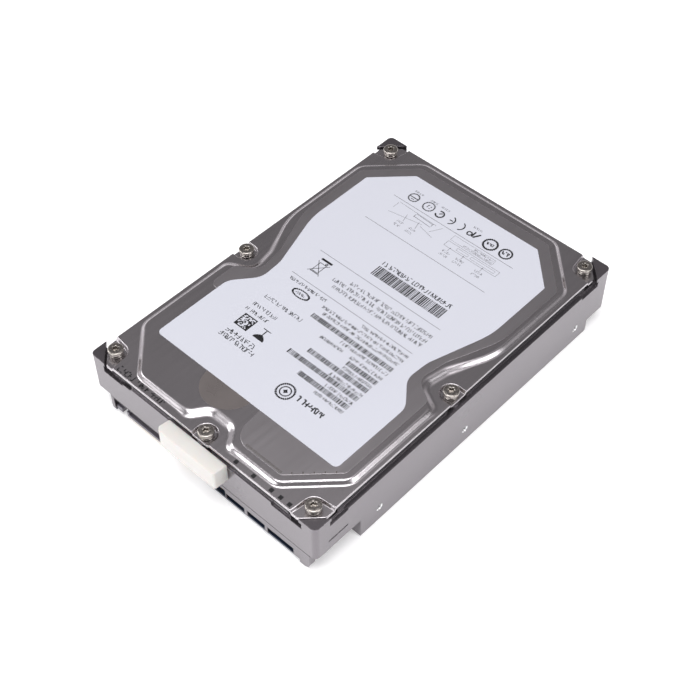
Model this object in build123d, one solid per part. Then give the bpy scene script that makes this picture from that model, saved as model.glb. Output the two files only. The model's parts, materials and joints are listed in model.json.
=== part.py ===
from build123d import *
import os
from math import acos, atan2, cos, degrees, hypot, pi, radians, sin, sqrt

# A 3.5-inch hard disk drive, in millimetres.
# Everything is modelled with x across the drive from its centreline, y from the face of the
# connector end and z up from the face that the drive is screwed down by. export() then moves
# the origin to the middle of the four bottom mounting holes.

# Disk pack
DISK_DIAMETER = 95.0
DISK_BORE = 25.0
DISK_THICKNESS = 1.27
DISK_COUNT = 4
DISK_PITCH = 3.3
FIRST_DISK_Z = 9.6
SPINDLE_GAP = 1.0
HUB_FIT = 0.05
SPACER_WIDTH = 3.5

# Casting walls
SHROUD_GAP = 0.7
SIDE_WALL = 2.6
END_GAP = 0.9
FLOOR_BOTTOM = 5.0
FLOOR_TOP = 7.2
UPPER_BOTTOM = 8.5
WALL_TOP = 21.2
RIM_TOP = 22.0
POST_TOP = 24.0
POST_LEGS = (6.9, 8.0)
CORNER_RADIUS = 1.8
RAIL_WIDTH = 7.2
RAIL_TOP = 8.9
RAIL_START = 19.7
RAIL_END_INSET = 10.0
DISK_END_BOTTOM = 5.4
GROOVE_Z = (7.8, 8.1)
GROOVE_DEPTH = 0.35

# Bay for the actuator, inside the walls
BAY_INSET = 10.8
BAY_WIDE_INSET = 4.8
BAY_START = 4.4
BAY_CHAMFER = 10.0

# Pockets under the edge of the cover: at the connector end (x from, x to, depth, bottom), and
# on each side (y from, y to, bottom), with a thin slot below the first
END_POCKETS = (
    (39.9, 45.0, 1.6, 19.9), (32.3, 39.9, 0.7, 19.9), (-44.6, -35.5, 1.6, 19.5), (-35.6, -31.5, 1.6, 20.4),
)
SIDE_POCKETS = ((6.3, 14.2, 20.4), (131.0, 140.0, 20.1))
SIDE_POCKET_DEPTH = 1.3
SIDE_SLOT = (5.6, 14.0, 12.5, 13.3)
SIDE_SLOT_DEPTH = 0.3
POCKET_TOP = POST_TOP - 1.5

# Standard mounting holes
HOLE_RADIUS = 1.42
HOLE_DEPTH = 5.5
BOTTOM_HOLE_X = 47.625
BOTTOM_HOLE_Y = 41.28
BOTTOM_HOLE_PITCH = 44.45
SIDE_HOLE_Y = (28.5, 70.1, 130.1)
SIDE_HOLE_Z = 6.35
SIDE_HOLE_STAGGER = 0.02

# Skirt below the connector end
SKIRT_X = (-44.0, 48.0)
SKIRT_BOTTOM = 0.3
SKIRT_THICKNESS = 2.4
SKIRT_RADIUS = 3.0
WINDOWS_X = ((11.2, 19.4), (20.7, 28.5), (29.7, 41.0))
WINDOW_TOP = 5.5

# Circuit board
BOARD_BOTTOM = 0.9
BOARD_THICKNESS = 0.8
BOARD_GAP = 0.1
BOARD_SIDE_GAP = 0.6
BOARD_START = 0.4
BOARD_END = 88.0
BOARD_SCREWS = ((-39.5, 15.0), (39.5, 12.0), (-39.5, 52.0), (39.5, 52.0), (-26.0, 80.0), (26.0, 80.0))
BOSS_RADIUS = 3.0

# Serial ATA connector and jumper header
SATA_X = (-42.2, 0.8)
POWER_X = (-37.2, -16.6)
DATA_X = (-13.2, -2.8)
POWER_PINS = 15
DATA_PINS = 7
PIN_PITCH = 1.27
TONGUE_Z = (2.0, 3.2)
TONGUE_START = 0.6
SATA_WALL_Y = (6.4, 9.2)
SATA_TOP = 7.2
SOCKET_GAP = 0.4
SOCKET_WALL = 1.3
HEADER_X = (2.9, 10.4)
HEADER_TOP = 5.8
HEADER_PITCH = 2.0

# Cover
SHEET = 0.9
FLANGE_TOP = 24.5
PLATEAU_TOP = 25.7
PAD_TOP = 23.45
COVER_INSET = 1.4
COVER_START = 0.3
COVER_END_INSET = 1.8
COVER_CHAMFER = 6.0
PLATEAU_INSET = 2.5
PLATEAU_START_INSET = 3.5
PLATEAU_END_INSET = 2.4
PLATEAU_CHAMFERS = (16.0, 17.0)
PLATEAU_NOTCH = 6.6
SCREW_INSET = 6.2
SCREW_START = 5.8
SCREW_END_INSET = 7.2
MID_SCREW_INSET = 4.4
MID_SCREW_BACK = 29.3
FRONT_SCREW = (1.2, 3.0)
SHANK_RADIUS = 1.2
THREAD_GAP = 0.03
HEAD_RADIUS = 2.7
HEAD_HEIGHT = 1.15
COLLAR_RADIUS = 2.4
COLLAR_HEIGHT = 1.5
PAD_RADIUS = 3.6
SEAL_WIDTH = 1.7
LABEL_THICKNESS = 0.12
LABEL_INSET = 10.4
LABEL_START = 20.0
LABEL_END_INSET = 11.8
LABEL_CHAMFER = 13.0
LABEL_NOTCH = 13.2
SEAL_PATCH = (-6.5, 20.5)
SEAL_PATCH_RADIUS = 9.75

# White block on the connector end
BUMPER_X = (-12.7, 13.5)
BUMPER_DEPTH = 5.8
BUMPER_Z = (14.8, 22.2)
BUMPER_RISE = 0.9

# Head actuator
PIVOT_X = -22.0
PIVOT_CLEAR = 9.3
HEAD_SHORT = 4.0
HEAD_PARK_RADIUS = 19.5
HEAD_CLEARANCE = 0.065
SUSPENSION_THICKNESS = 0.2
HEAD_THICKNESS = 0.3
HEAD_SIZE = 2.0
BARREL_RADIUS = 8.6
PIVOT_SHAFT_RADIUS = 3.0
RUNNING_FIT = 0.03
BEARING_RADIUS = 6.2
COIL_Z = (13.2, 16.6)
COIL_R = (14.5, 29.5)
COIL_HALF_ANGLE = 17.0
MAGNET_THICKNESS = 2.3
YOKE_THICKNESS = 2.5
YOKE_R = (13.0, 33.0)
YOKE_ANGLES = (-35.0, 60.0)

HEAD_PLUG_X = (15.0, 31.0)
HEAD_PLUG_Y = (34.0, 39.0)
LATCH_REACH = 36.4
LATCH_ANGLE = -12.0
LATCH_PIN_RADIUS = 0.9
FLEX_X = -1.0
FLEX_RADIUS = 11.0

# Spindle motor
SHAFT_RADIUS = 2.5
SLEEVE_RADIUS = 4.2
BASE_TUBE = (4.6, 5.4)
STATOR_RADIUS = 10.2
ROTOR_GAP = 0.3
MAGNET_WIDTH = 0.9
STATOR_TEETH = 9
MOTOR_RECESS = 20.0

# Values worked out from the ones above
DISK_RADIUS = DISK_DIAMETER / 2
SPINDLE_Y = DISK_DIAMETER + SPINDLE_GAP
HUB_RADIUS = DISK_BORE / 2 - HUB_FIT
SHROUD_RADIUS = DISK_RADIUS + SHROUD_GAP
HALF_WIDTH = SHROUD_RADIUS + SIDE_WALL
LENGTH = SPINDLE_Y + DISK_RADIUS + END_GAP + SIDE_WALL
ORIGIN_Y = BOTTOM_HOLE_Y + BOTTOM_HOLE_PITCH / 2
SPINDLE = (0.0, SPINDLE_Y)
BOARD_TOP = BOARD_BOTTOM + BOARD_THICKNESS
RAIL_INNER = HALF_WIDTH - RAIL_WIDTH
SCREW_X = HALF_WIDTH - SCREW_INSET
MID_SCREW = (HALF_WIDTH - MID_SCREW_INSET, SPINDLE_Y - MID_SCREW_BACK)
COVER_SCREWS = (
    (-SCREW_X, SCREW_START), FRONT_SCREW, (SCREW_X, SCREW_START),
    (-MID_SCREW[0], MID_SCREW[1]), MID_SCREW,
    (-SCREW_X, LENGTH - SCREW_END_INSET), (SCREW_X, LENGTH - SCREW_END_INSET),
)
PIVOT_DISTANCE = DISK_RADIUS + PIVOT_CLEAR
HEAD_REACH = PIVOT_DISTANCE - HEAD_SHORT
PIVOT = (PIVOT_X, SPINDLE_Y - sqrt(PIVOT_DISTANCE ** 2 - PIVOT_X ** 2))
SPINDLE_BEARING = degrees(atan2(-PIVOT_X, SPINDLE_Y - PIVOT[1]))
LAST_DISK_TOP = FIRST_DISK_Z + DISK_PITCH * (DISK_COUNT - 1) + DISK_THICKNESS
SPACE = DISK_PITCH - DISK_THICKNESS
ARM_THICKNESS = SPACE - 2 * (HEAD_CLEARANCE + HEAD_THICKNESS + SUSPENSION_THICKNESS)
YOKE_LOW_TOP = FLOOR_TOP + YOKE_THICKNESS
UPPER_MAGNET_Z = COIL_Z[1] + COIL_Z[0] - YOKE_LOW_TOP - MAGNET_THICKNESS


def block(x0, x1, y0, y1, z0, z1):
    return Pos((x0 + x1) / 2, (y0 + y1) / 2, (z0 + z1) / 2) * Box(x1 - x0, y1 - y0, z1 - z0)


def rod(radius, z0, z1, at=(0.0, 0.0)):
    return Pos(at[0], at[1], (z0 + z1) / 2) * Cylinder(radius, z1 - z0)


def ring(outer, inner, z0, z1, at=(0.0, 0.0)):
    return rod(outer, z0, z1, at) - rod(inner, z0 - 1, z1 + 1, at)


def plan(points):
    return make_face(Polyline(*points, close=True))


def disc(radius, at):
    return Pos(*at) * Circle(radius)


def slab(shape, z0, z1):
    return extrude(Pos(0, 0, z0) * shape, amount=z1 - z0, dir=(0, 0, 1))


def chamfered(half, y0, y1, near, far):
    """A rectangle whose corners are cut off by near at the connector end and far at the disk end."""
    return plan([
        (-half, y0 + near), (-half + near, y0), (half - near, y0), (half, y0 + near),
        (half, y1 - far), (half - far, y1), (-half + far, y1), (-half, y1 - far),
    ])


def teardrop(centre, radius, tip):
    """A disc together with the two tangents that run from it to the tip."""
    dx, dy = tip[0] - centre[0], tip[1] - centre[1]
    reach = hypot(dx, dy)
    heading, spread = atan2(dy, dx), acos(radius / reach)
    touch = [(centre[0] + radius * cos(heading + side * spread),
              centre[1] + radius * sin(heading + side * spread)) for side in (-1, 1)]
    return disc(radius, centre) + plan([touch[0], tip, touch[1]])


def both_sides(shape):
    return shape + mirror(shape, about=Plane.YZ)


def star(radius):
    """A six-lobed drive recess."""
    count = 12
    points = [(radius * (1 if i % 2 else 0.74) * cos(i * 2 * pi / count),
               radius * (1 if i % 2 else 0.74) * sin(i * 2 * pi / count)) for i in range(count)]
    return plan(points)


def fan(r0, r1, a0, a1, z0, z1):
    """A ring sector about the pivot. Angles are from -Y towards +X, in degrees."""
    outer = [(r1 * sin(radians(a)), -r1 * cos(radians(a))) for a in (a0, (a0 + a1) / 2, a1)]
    inner = [(r0 * sin(radians(a)), -r0 * cos(radians(a))) for a in (a0, (a0 + a1) / 2, a1)]
    edges = [ThreePointArc(*outer), Line(outer[2], inner[2])]
    edges += [ThreePointArc(*inner[::-1]), Line(inner[0], outer[0])]
    return Pos(*PIVOT) * slab(make_face(edges), z0, z1)


# Plans that several parts share
OUTER_PLAN = Pos(0, LENGTH / 2) * RectangleRounded(2 * HALF_WIDTH, LENGTH, CORNER_RADIUS)
COVER_HALF = HALF_WIDTH - COVER_INSET
COVER_END = LENGTH - COVER_END_INSET
PAD_BOTTOM = PAD_TOP - SHEET


def cover_plan(inset=0.0):
    cut = COVER_CHAMFER - inset * (2 - sqrt(2))
    return chamfered(COVER_HALF - inset, COVER_START + inset, COVER_END - inset, cut, cut)


def pad_plan(grow=0.0):
    """The sunk places for the cover screws, open to the edge of the cover."""
    radius = PAD_RADIUS + grow
    side = HALF_WIDTH + 2
    x, y = FRONT_SCREW
    left, right = x - radius, x + radius
    shape = disc(radius, FRONT_SCREW) + plan([(left, -2), (right, -2), (right, y), (left, y)])
    mid = disc(radius, MID_SCREW) + Pos((MID_SCREW[0] + side) / 2, MID_SCREW[1]) * Rectangle(
        side - MID_SCREW[0], 2 * radius)
    shape += both_sides(mid)
    for y, end, away in ((SCREW_START, -2, 1), (LENGTH - SCREW_END_INSET, LENGTH + 2, -1)):
        flare = 1.4
        corner = disc(radius, (SCREW_X, y)) + plan([
            (SCREW_X - radius, y), (SCREW_X - radius - flare, end), (side, end),
            (side, y + away * (radius + flare)), (SCREW_X, y + away * radius),
        ])
        shape += both_sides(corner)
    return shape


def cavity_plan(grow=0.0):
    """The inside of the casting: the shroud round the disks and the bay for the actuator."""
    narrow = HALF_WIDTH - BAY_INSET + grow
    wide = HALF_WIDTH - BAY_WIDE_INSET + grow
    bay = chamfered(narrow, BAY_START - grow, SPINDLE_Y - 16, BAY_CHAMFER, 1.0)
    near = BAY_START + BAY_CHAMFER + 1.5
    far = MID_SCREW[1] - PAD_RADIUS - SEAL_WIDTH - 5.4
    bay += Pos(0, (near + far) / 2) * Rectangle(2 * wide, far - near + 2 * grow)
    bay -= disc(PAD_RADIUS + SEAL_WIDTH + 1.2 - grow, FRONT_SCREW)
    return bay + disc(SHROUD_RADIUS + grow, SPINDLE)


def seal_plan():
    """The strip that the gasket covers: along the edge, and inside each screw pad."""
    edge = 0.3
    gap = 1.1
    shape = cover_plan(edge) - cover_plan(edge + SEAL_WIDTH)
    shape += pad_plan(gap + SEAL_WIDTH) & cover_plan(edge)
    shape -= pad_plan(gap)
    return shape - cavity_plan(0.15)


def plateau_plan(inset=0.0):
    shape = chamfered(COVER_HALF - PLATEAU_INSET - inset, COVER_START + PLATEAU_START_INSET + inset,
                      COVER_END - PLATEAU_END_INSET - inset, *PLATEAU_CHAMFERS)
    tip = (COVER_HALF - PLATEAU_INSET + 1.5, MID_SCREW[1] + 25)
    shape -= both_sides(teardrop(MID_SCREW, PLATEAU_NOTCH + inset, tip))
    return shape - disc(PLATEAU_NOTCH + 0.4 + inset, FRONT_SCREW)


def label_plan():
    half = HALF_WIDTH - LABEL_INSET
    shape = chamfered(half, LABEL_START, LENGTH - LABEL_END_INSET, 1.2, LABEL_CHAMFER)
    tip = (half + 0.6, MID_SCREW[1] + 37)
    return shape - both_sides(teardrop(MID_SCREW, LABEL_NOTCH, tip))


def skirt():
    """The wall under the connector end, with windows for the board and round lower corners."""
    x0, x1 = SKIRT_X
    face = plan([(x0, SKIRT_BOTTOM), (x1, SKIRT_BOTTOM), (x1, UPPER_BOTTOM), (x0, UPPER_BOTTOM)])
    face = fillet(face.vertices().sort_by(Axis.Y)[:2], SKIRT_RADIUS)
    shape = extrude(Plane.XZ * face, amount=SKIRT_THICKNESS, dir=(0, 1, 0))
    bottom = BOARD_TOP + BOARD_GAP
    shape -= block(-RAIL_INNER, RAIL_INNER, -1, SKIRT_THICKNESS + 1, -1, bottom)
    for w0, w1 in WINDOWS_X:
        shape -= block(w0, w1, -1, SKIRT_THICKNESS + 1, bottom - 1, WINDOW_TOP)
    return shape


def mounting_holes():
    """Blind threaded holes. The left side's sit a hair higher, so that no two share an axis."""
    cut = []
    for side in (1, -1):
        for y in (BOTTOM_HOLE_Y, BOTTOM_HOLE_Y + BOTTOM_HOLE_PITCH):
            cut.append(rod(HOLE_RADIUS, -1, HOLE_DEPTH, (side * BOTTOM_HOLE_X, y)))
        for y in SIDE_HOLE_Y:
            hole = Rot(0, 90, 0) * Cylinder(HOLE_RADIUS, 2 * HOLE_DEPTH)
            z = SIDE_HOLE_Z if side > 0 else SIDE_HOLE_Z + SIDE_HOLE_STAGGER
            cut.append(Pos(side * HALF_WIDTH, y, z) * hole)
    return cut


def wall_notches():
    """Dark pockets under the cover's edge."""
    cut = [block(x0, x1, -1, depth, z, POCKET_TOP) for x0, x1, depth, z in END_POCKETS]
    for side in (-1, 1):
        outside = side * (HALF_WIDTH + 1)
        x0, x1 = sorted((side * (HALF_WIDTH - SIDE_POCKET_DEPTH), outside))
        cut += [block(x0, x1, y0, y1, z, POCKET_TOP) for y0, y1, z in SIDE_POCKETS]
        x0, x1 = sorted((side * (HALF_WIDTH - SIDE_SLOT_DEPTH), outside))
        cut.append(block(x0, x1, *SIDE_SLOT))
    return cut


def base_casting():
    rail_end = LENGTH - RAIL_END_INSET
    shape = slab(OUTER_PLAN, UPPER_BOTTOM, WALL_TOP)
    shape += block(-RAIL_INNER, RAIL_INNER, 0, LENGTH - 1, FLOOR_BOTTOM, UPPER_BOTTOM)
    shape += slab(OUTER_PLAN, DISK_END_BOTTOM, UPPER_BOTTOM) & block(
        -HALF_WIDTH, HALF_WIDTH, rail_end, LENGTH, 0, POST_TOP)
    shape += both_sides(block(RAIL_INNER, HALF_WIDTH, RAIL_START, rail_end, 0, RAIL_TOP))
    shape += block(-RAIL_INNER, RAIL_INNER, BOARD_END + 4, rail_end, BOARD_TOP + BOARD_GAP, FLOOR_BOTTOM)
    shape += skirt()
    for y, away, leg in ((0, 1, POST_LEGS[0]), (LENGTH, -1, POST_LEGS[1])):
        corner = plan([(HALF_WIDTH, y), (HALF_WIDTH - leg, y), (HALF_WIDTH, y + away * leg)])
        shape += slab(both_sides(corner) & OUTER_PLAN, WALL_TOP, POST_TOP)
    shape -= slab(cavity_plan(), FLOOR_TOP, POST_TOP + 1)
    shape += block(SATA_X[0] - 2, SATA_X[1] + 2, 2, SATA_WALL_Y[1] + SOCKET_WALL, FLOOR_TOP, SATA_TOP + 2)
    shape += slab(seal_plan(), WALL_TOP, RIM_TOP)
    for at in COVER_SCREWS:
        shape += rod(BOSS_RADIUS, WALL_TOP - 6, PAD_BOTTOM, at)
        shape -= rod(SHANK_RADIUS + THREAD_GAP, PAD_BOTTOM - 8, PAD_BOTTOM + 1, at)
    for at in BOARD_SCREWS:
        shape += rod(BOSS_RADIUS, BOARD_TOP, FLOOR_BOTTOM, at)
        shape -= rod(SHANK_RADIUS + THREAD_GAP, BOARD_TOP - 1, FLOOR_TOP - 1, at)
    shape -= block(SATA_X[0] - SOCKET_GAP, SATA_X[1] + SOCKET_GAP, -1, SATA_WALL_Y[1] + SOCKET_GAP,
                   -1, SATA_TOP + SOCKET_GAP)
    shape -= block(HEADER_X[0] - SOCKET_GAP, HEADER_X[1] + SOCKET_GAP, -1, SATA_WALL_Y[1] + SOCKET_GAP,
                   -1, HEADER_TOP + SOCKET_GAP)
    shape -= block(SKIRT_X[0] - 1, SKIRT_X[1] + 1, -1, GROOVE_DEPTH, *GROOVE_Z)
    shape -= rod(MOTOR_RECESS, -1, FLOOR_BOTTOM, SPINDLE)
    shape -= rod(STATOR_RADIUS + 2, -1, FLOOR_TOP + 1, SPINDLE)
    shape -= block(*HEAD_PLUG_X, *HEAD_PLUG_Y, -1, FLOOR_TOP + 1)
    for cut in wall_notches() + mounting_holes():
        shape -= cut
    return shape


def head_connector():
    gap = 0.2
    shape = block(HEAD_PLUG_X[0] + gap, HEAD_PLUG_X[1] - gap, HEAD_PLUG_Y[0] + gap, HEAD_PLUG_Y[1] - gap,
                  BOARD_TOP, FLOOR_TOP)
    return shape


def top_cover():
    """One pressed sheet: the flange, the raised middle and the seven sunk screw pads."""
    above = slab(cover_plan(), PAD_BOTTOM, FLANGE_TOP) + slab(plateau_plan(), PAD_BOTTOM, PLATEAU_TOP)
    above -= slab(pad_plan(), PAD_TOP, PLATEAU_TOP + 1)
    below = slab(cover_plan(-1), PAD_BOTTOM - 1, FLANGE_TOP - SHEET)
    below -= slab(pad_plan(SHEET), PAD_BOTTOM, PLATEAU_TOP)
    below += slab(plateau_plan(SHEET), PAD_BOTTOM - 1, PLATEAU_TOP - SHEET)
    shape = above - below
    for at in COVER_SCREWS:
        shape -= rod(SHANK_RADIUS + 0.15, PAD_BOTTOM - 1, PAD_TOP + 1, at)
    return shape


def cover_gasket():
    return slab(seal_plan(), RIM_TOP, FLANGE_TOP - SHEET)


def cover_damping_plate():
    under = PLATEAU_TOP - SHEET
    return slab(plateau_plan(SHEET + 2.4), under - 0.4, under)


def product_label():
    return slab(label_plan(), PLATEAU_TOP, PLATEAU_TOP + LABEL_THICKNESS)


def seal_patch():
    shape = disc(SEAL_PATCH_RADIUS, SEAL_PATCH) - label_plan()
    return slab(shape, PLATEAU_TOP, PLATEAU_TOP + LABEL_THICKNESS / 2)


def cover_screw(at):
    """A collared screw: two narrow rings under a flat head with a star recess."""
    base = PAD_TOP
    top = base + COLLAR_HEIGHT + HEAD_HEIGHT
    neck = COLLAR_RADIUS - 0.35
    shape = rod(neck, base, base + COLLAR_HEIGHT)
    for k in range(2):
        z = base + COLLAR_HEIGHT / 2 * k
        shape += rod(COLLAR_RADIUS, z, z + COLLAR_HEIGHT * 0.36)
    shape += chamfer(rod(HEAD_RADIUS, base + COLLAR_HEIGHT, top).edges().group_by(Axis.Z)[-1], 0.35)
    shape += rod(SHANK_RADIUS, base - 6, base)
    return Pos(*at) * (shape - slab(star(1.3), top - 0.9, top + 1))


def end_bumper_block():
    """A loose plastic block held against the wall, a little taller on its outer face."""
    z0, z1 = BUMPER_Z
    face = plan([(0, z0), (0, z1), (-BUMPER_DEPTH, z1 + BUMPER_RISE), (-BUMPER_DEPTH, z0 + BUMPER_RISE / 2)])
    shape = extrude(Plane.YZ.offset(BUMPER_X[0]) * face, amount=BUMPER_X[1] - BUMPER_X[0], dir=(1, 0, 0))
    upright = shape.edges().filter_by(Axis.Z).group_by(Axis.Y)[0]
    return chamfer(upright, 0.8)


def board_plan():
    half = RAIL_INNER - BOARD_SIDE_GAP
    shape = plan([(-half, BOARD_START), (half, BOARD_START), (half, BOARD_END - 12), (half - 12, BOARD_END),
                  (12 - half, BOARD_END), (-half, BOARD_END - 12)])
    return shape - disc(MOTOR_RECESS, SPINDLE)


def circuit_board():
    shape = slab(board_plan(), BOARD_BOTTOM, BOARD_TOP)
    shape -= block(SATA_X[0] - SOCKET_GAP, SATA_X[1] + SOCKET_GAP, 0, SATA_WALL_Y[0], 0, BOARD_TOP + 1)
    for at in BOARD_SCREWS:
        shape -= rod(SHANK_RADIUS + 0.1, 0, BOARD_TOP + 1, at)
    return shape


def board_insulator():
    """Foam that damps the board against the casting floor."""
    half = RAIL_INNER - 2
    sheet = plan([(-half, 11), (half, 11), (half, 74), (half - 12, 85), (12 - half, 85), (-half, 74)])
    sheet -= disc(MOTOR_RECESS + 1, SPINDLE)
    for at in BOARD_SCREWS:
        sheet -= disc(BOSS_RADIUS + 0.5, at)
    x, y = sum(HEAD_PLUG_X) / 2, sum(HEAD_PLUG_Y) / 2
    sheet -= Pos(x, y) * Rectangle(HEAD_PLUG_X[1] - HEAD_PLUG_X[0] + 1, HEAD_PLUG_Y[1] - HEAD_PLUG_Y[0] + 1)
    return slab(sheet, FLOOR_BOTTOM - 0.9, FLOOR_BOTTOM)


def board_screws():
    shapes = []
    for at in BOARD_SCREWS:
        head = rod(2.4, BOARD_BOTTOM - 0.8, BOARD_BOTTOM)
        shape = head + rod(SHANK_RADIUS, BOARD_BOTTOM, FLOOR_BOTTOM + 0.5)
        shapes.append(Pos(*at) * (shape - slab(star(1.2), 0, BOARD_BOTTOM - 0.2)))
    return Compound(shapes)


def sata_connector_housing():
    """Back wall, end guides and the two L-shaped tongues of the plug."""
    z0, z1 = TONGUE_Z
    y0, y1 = SATA_WALL_Y
    shape = block(SATA_X[0], SATA_X[1], y0, y1, BOARD_TOP, SATA_TOP)
    for x0, x1 in (POWER_X, DATA_X):
        shape += block(x0, x1, TONGUE_START, y0, z0, z1)
    shape += block(POWER_X[0], POWER_X[0] + 1.1, TONGUE_START, y0, z1, z1 + 1.2)
    shape += block(DATA_X[1] - 1.1, DATA_X[1], TONGUE_START, y0, z1, z1 + 1.2)
    ear = 2.6
    for x0 in (SATA_X[0], SATA_X[1] - ear):
        shape += block(x0, x0 + ear, TONGUE_START, y0, BOARD_TOP, z1 + 0.6)
    return shape


def sata_contacts():
    """Gold strips on the lower face of the tongues."""
    shapes = []
    for (x0, x1), count in ((POWER_X, POWER_PINS), (DATA_X, DATA_PINS)):
        middle = (x0 + x1) / 2
        for i in range(count):
            x = middle + (i - (count - 1) / 2) * PIN_PITCH
            contact_y = (TONGUE_START + 0.5, SATA_WALL_Y[0])
            shapes.append(block(x - 0.4, x + 0.4, *contact_y, TONGUE_Z[0] - 0.12, TONGUE_Z[0]))
    return Compound(shapes)


def jumper_header():
    middle = sum(HEADER_X) / 2
    return block(HEADER_X[0], HEADER_X[1], SATA_WALL_Y[0] - 0.4, SATA_WALL_Y[1], BOARD_TOP, HEADER_TOP) - \
        header_pin_holes(middle)


def header_pins(middle, half, y0, y1):
    shapes = []
    for column in range(4):
        for row in range(2):
            x = middle + (column - 1.5) * HEADER_PITCH
            z = BOARD_TOP + 1.1 + row * HEADER_PITCH
            shapes.append(block(x - half, x + half, y0, y1, z - half, z + half))
    return shapes


def header_pin_holes(middle):
    return header_pins(middle, 0.25, 0, SATA_WALL_Y[1] + 1)


def jumper_pins():
    return Compound(header_pins(sum(HEADER_X) / 2, 0.25, 1.2, SATA_WALL_Y[1]))


def chip(x, y, width, depth, height):
    return block(x - width / 2, x + width / 2, y - depth / 2, y + depth / 2, BOARD_TOP, BOARD_TOP + height)


def board_passives():
    """Rows of capacitors and resistors, and two coils beside the motor driver."""
    shapes = [chip(-36 + 3.2 * i, 30, 1.6, 0.9, 0.8) for i in range(6)]
    shapes += [chip(6 + 2.6 * i, 28, 1.2, 0.7, 0.6) for i in range(8)]
    shapes += [chip(-30 + 3.0 * i, 66, 1.8, 1.2, 1.0) for i in range(5)]
    shapes += [rod(2.4, BOARD_TOP, BOARD_TOP + 2.0, (30, y)) for y in (64, 70)]
    return Compound(shapes)


def motor_base():
    shape = rod(MOTOR_RECESS - 2, FLOOR_BOTTOM - 1.4, FLOOR_BOTTOM, SPINDLE)
    shape += rod(STATOR_RADIUS + 1.9, FLOOR_BOTTOM, FLOOR_TOP, SPINDLE)
    shape += rod(BASE_TUBE[1], FLOOR_TOP, FLOOR_TOP + 4.5, SPINDLE)
    shape -= rod(BASE_TUBE[0], FLOOR_TOP, FLOOR_TOP + 5, SPINDLE)
    return shape - rod(SHAFT_RADIUS, FLOOR_BOTTOM, FLOOR_TOP + 1, SPINDLE)


def spindle_shaft():
    return rod(SHAFT_RADIUS, FLOOR_BOTTOM, PLATEAU_TOP - SHEET - 1.2, SPINDLE)


def stator_core():
    z0, z1 = FLOOR_TOP + 1.4, FLOOR_TOP + 3.8
    shape = ring(BASE_TUBE[1] + 1.1, BASE_TUBE[1], z0, z1)
    tip = ring(STATOR_RADIUS, STATOR_RADIUS - 0.9, z0, z1)
    for i in range(STATOR_TEETH):
        turn = Rot(0, 0, i * 360 / STATOR_TEETH)
        shape += turn * block(BASE_TUBE[1] + 0.5, STATOR_RADIUS - 0.5, -0.6, 0.6, z0, z1)
        shape += turn * (tip & block(0, STATOR_RADIUS + 1, -2.6, 2.6, z0, z1))
    return Pos(*SPINDLE) * shape


def stator_coils():
    z0, z1 = FLOOR_TOP + 1.4, FLOOR_TOP + 3.8
    coil = block(BASE_TUBE[1] + 1.5, STATOR_RADIUS - 1.3, -1.3, 1.3, z0 - 0.6, z1 + 0.6)
    coil -= block(0, STATOR_RADIUS, -0.6, 0.6, z0, z1)
    coils = [Pos(*SPINDLE) * Rot(0, 0, i * 360 / STATOR_TEETH) * coil for i in range(STATOR_TEETH)]
    return Compound(coils)


def spindle_hub():
    inner = STATOR_RADIUS + ROTOR_GAP + MAGNET_WIDTH
    hollow_top = FLOOR_TOP + 5.4
    shape = rod(HUB_RADIUS, FLOOR_TOP + 0.9, LAST_DISK_TOP, SPINDLE)
    shape += rod(HUB_RADIUS + SPACER_WIDTH, FLOOR_TOP + 0.9, FIRST_DISK_Z, SPINDLE)
    shape -= rod(inner, FLOOR_TOP, hollow_top, SPINDLE)
    shape -= rod(SLEEVE_RADIUS, FLOOR_TOP, LAST_DISK_TOP + 1, SPINDLE)
    for x, y in clamp_screw_places():
        shape -= rod(0.9, LAST_DISK_TOP - 4, LAST_DISK_TOP + 1, (x, y))
    return shape


def clamp_screw_places():
    angles = [radians(60 * i) for i in range(6)]
    return [(SPINDLE[0] + 8.2 * cos(a), SPINDLE[1] + 8.2 * sin(a)) for a in angles]


def bearing_sleeve():
    return ring(SLEEVE_RADIUS, SHAFT_RADIUS + RUNNING_FIT, FLOOR_TOP + 0.6, LAST_DISK_TOP, SPINDLE)


def rotor_magnet():
    outer = STATOR_RADIUS + ROTOR_GAP + MAGNET_WIDTH
    return ring(outer, outer - MAGNET_WIDTH, FLOOR_TOP + 1.2, FLOOR_TOP + 4.4, SPINDLE)


def platter(number):
    z = FIRST_DISK_Z + DISK_PITCH * number
    shape = ring(DISK_RADIUS, DISK_BORE / 2, z, z + DISK_THICKNESS, SPINDLE)
    return chamfer(shape.edges().filter_by(GeomType.CIRCLE).group_by(SortBy.RADIUS)[-1], 0.15)


def disk_spacers():
    shapes = []
    for number in range(DISK_COUNT - 1):
        z = FIRST_DISK_Z + DISK_PITCH * number + DISK_THICKNESS
        shapes.append(ring(DISK_BORE / 2 + SPACER_WIDTH, DISK_BORE / 2, z, z + SPACE, SPINDLE))
    return Compound(shapes)


def disk_clamp():
    shape = ring(DISK_BORE / 2 + SPACER_WIDTH - 0.5, SHAFT_RADIUS + 2, LAST_DISK_TOP, LAST_DISK_TOP + 1.1, SPINDLE)
    for at in clamp_screw_places():
        shape -= rod(0.9, LAST_DISK_TOP - 1, LAST_DISK_TOP + 2, at)
    return shape


def clamp_screws():
    base = LAST_DISK_TOP + 1.1
    screw = rod(1.6, base, base + 0.7) + rod(0.9, base - 4, base) - slab(star(0.8), base + 0.2, base + 1)
    return Compound([Pos(*at) * screw for at in clamp_screw_places()])


def arm_levels():
    """The middle height of each arm: one below, between and above the disks."""
    return [FIRST_DISK_Z - SPACE / 2 + DISK_PITCH * i for i in range(DISK_COUNT + 1)]


def park_angle():
    squares = PIVOT_DISTANCE ** 2 + HEAD_REACH ** 2 - HEAD_PARK_RADIUS ** 2
    cosine = squares / (2 * PIVOT_DISTANCE * HEAD_REACH)
    return degrees(acos(cosine)) - SPINDLE_BEARING


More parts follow.
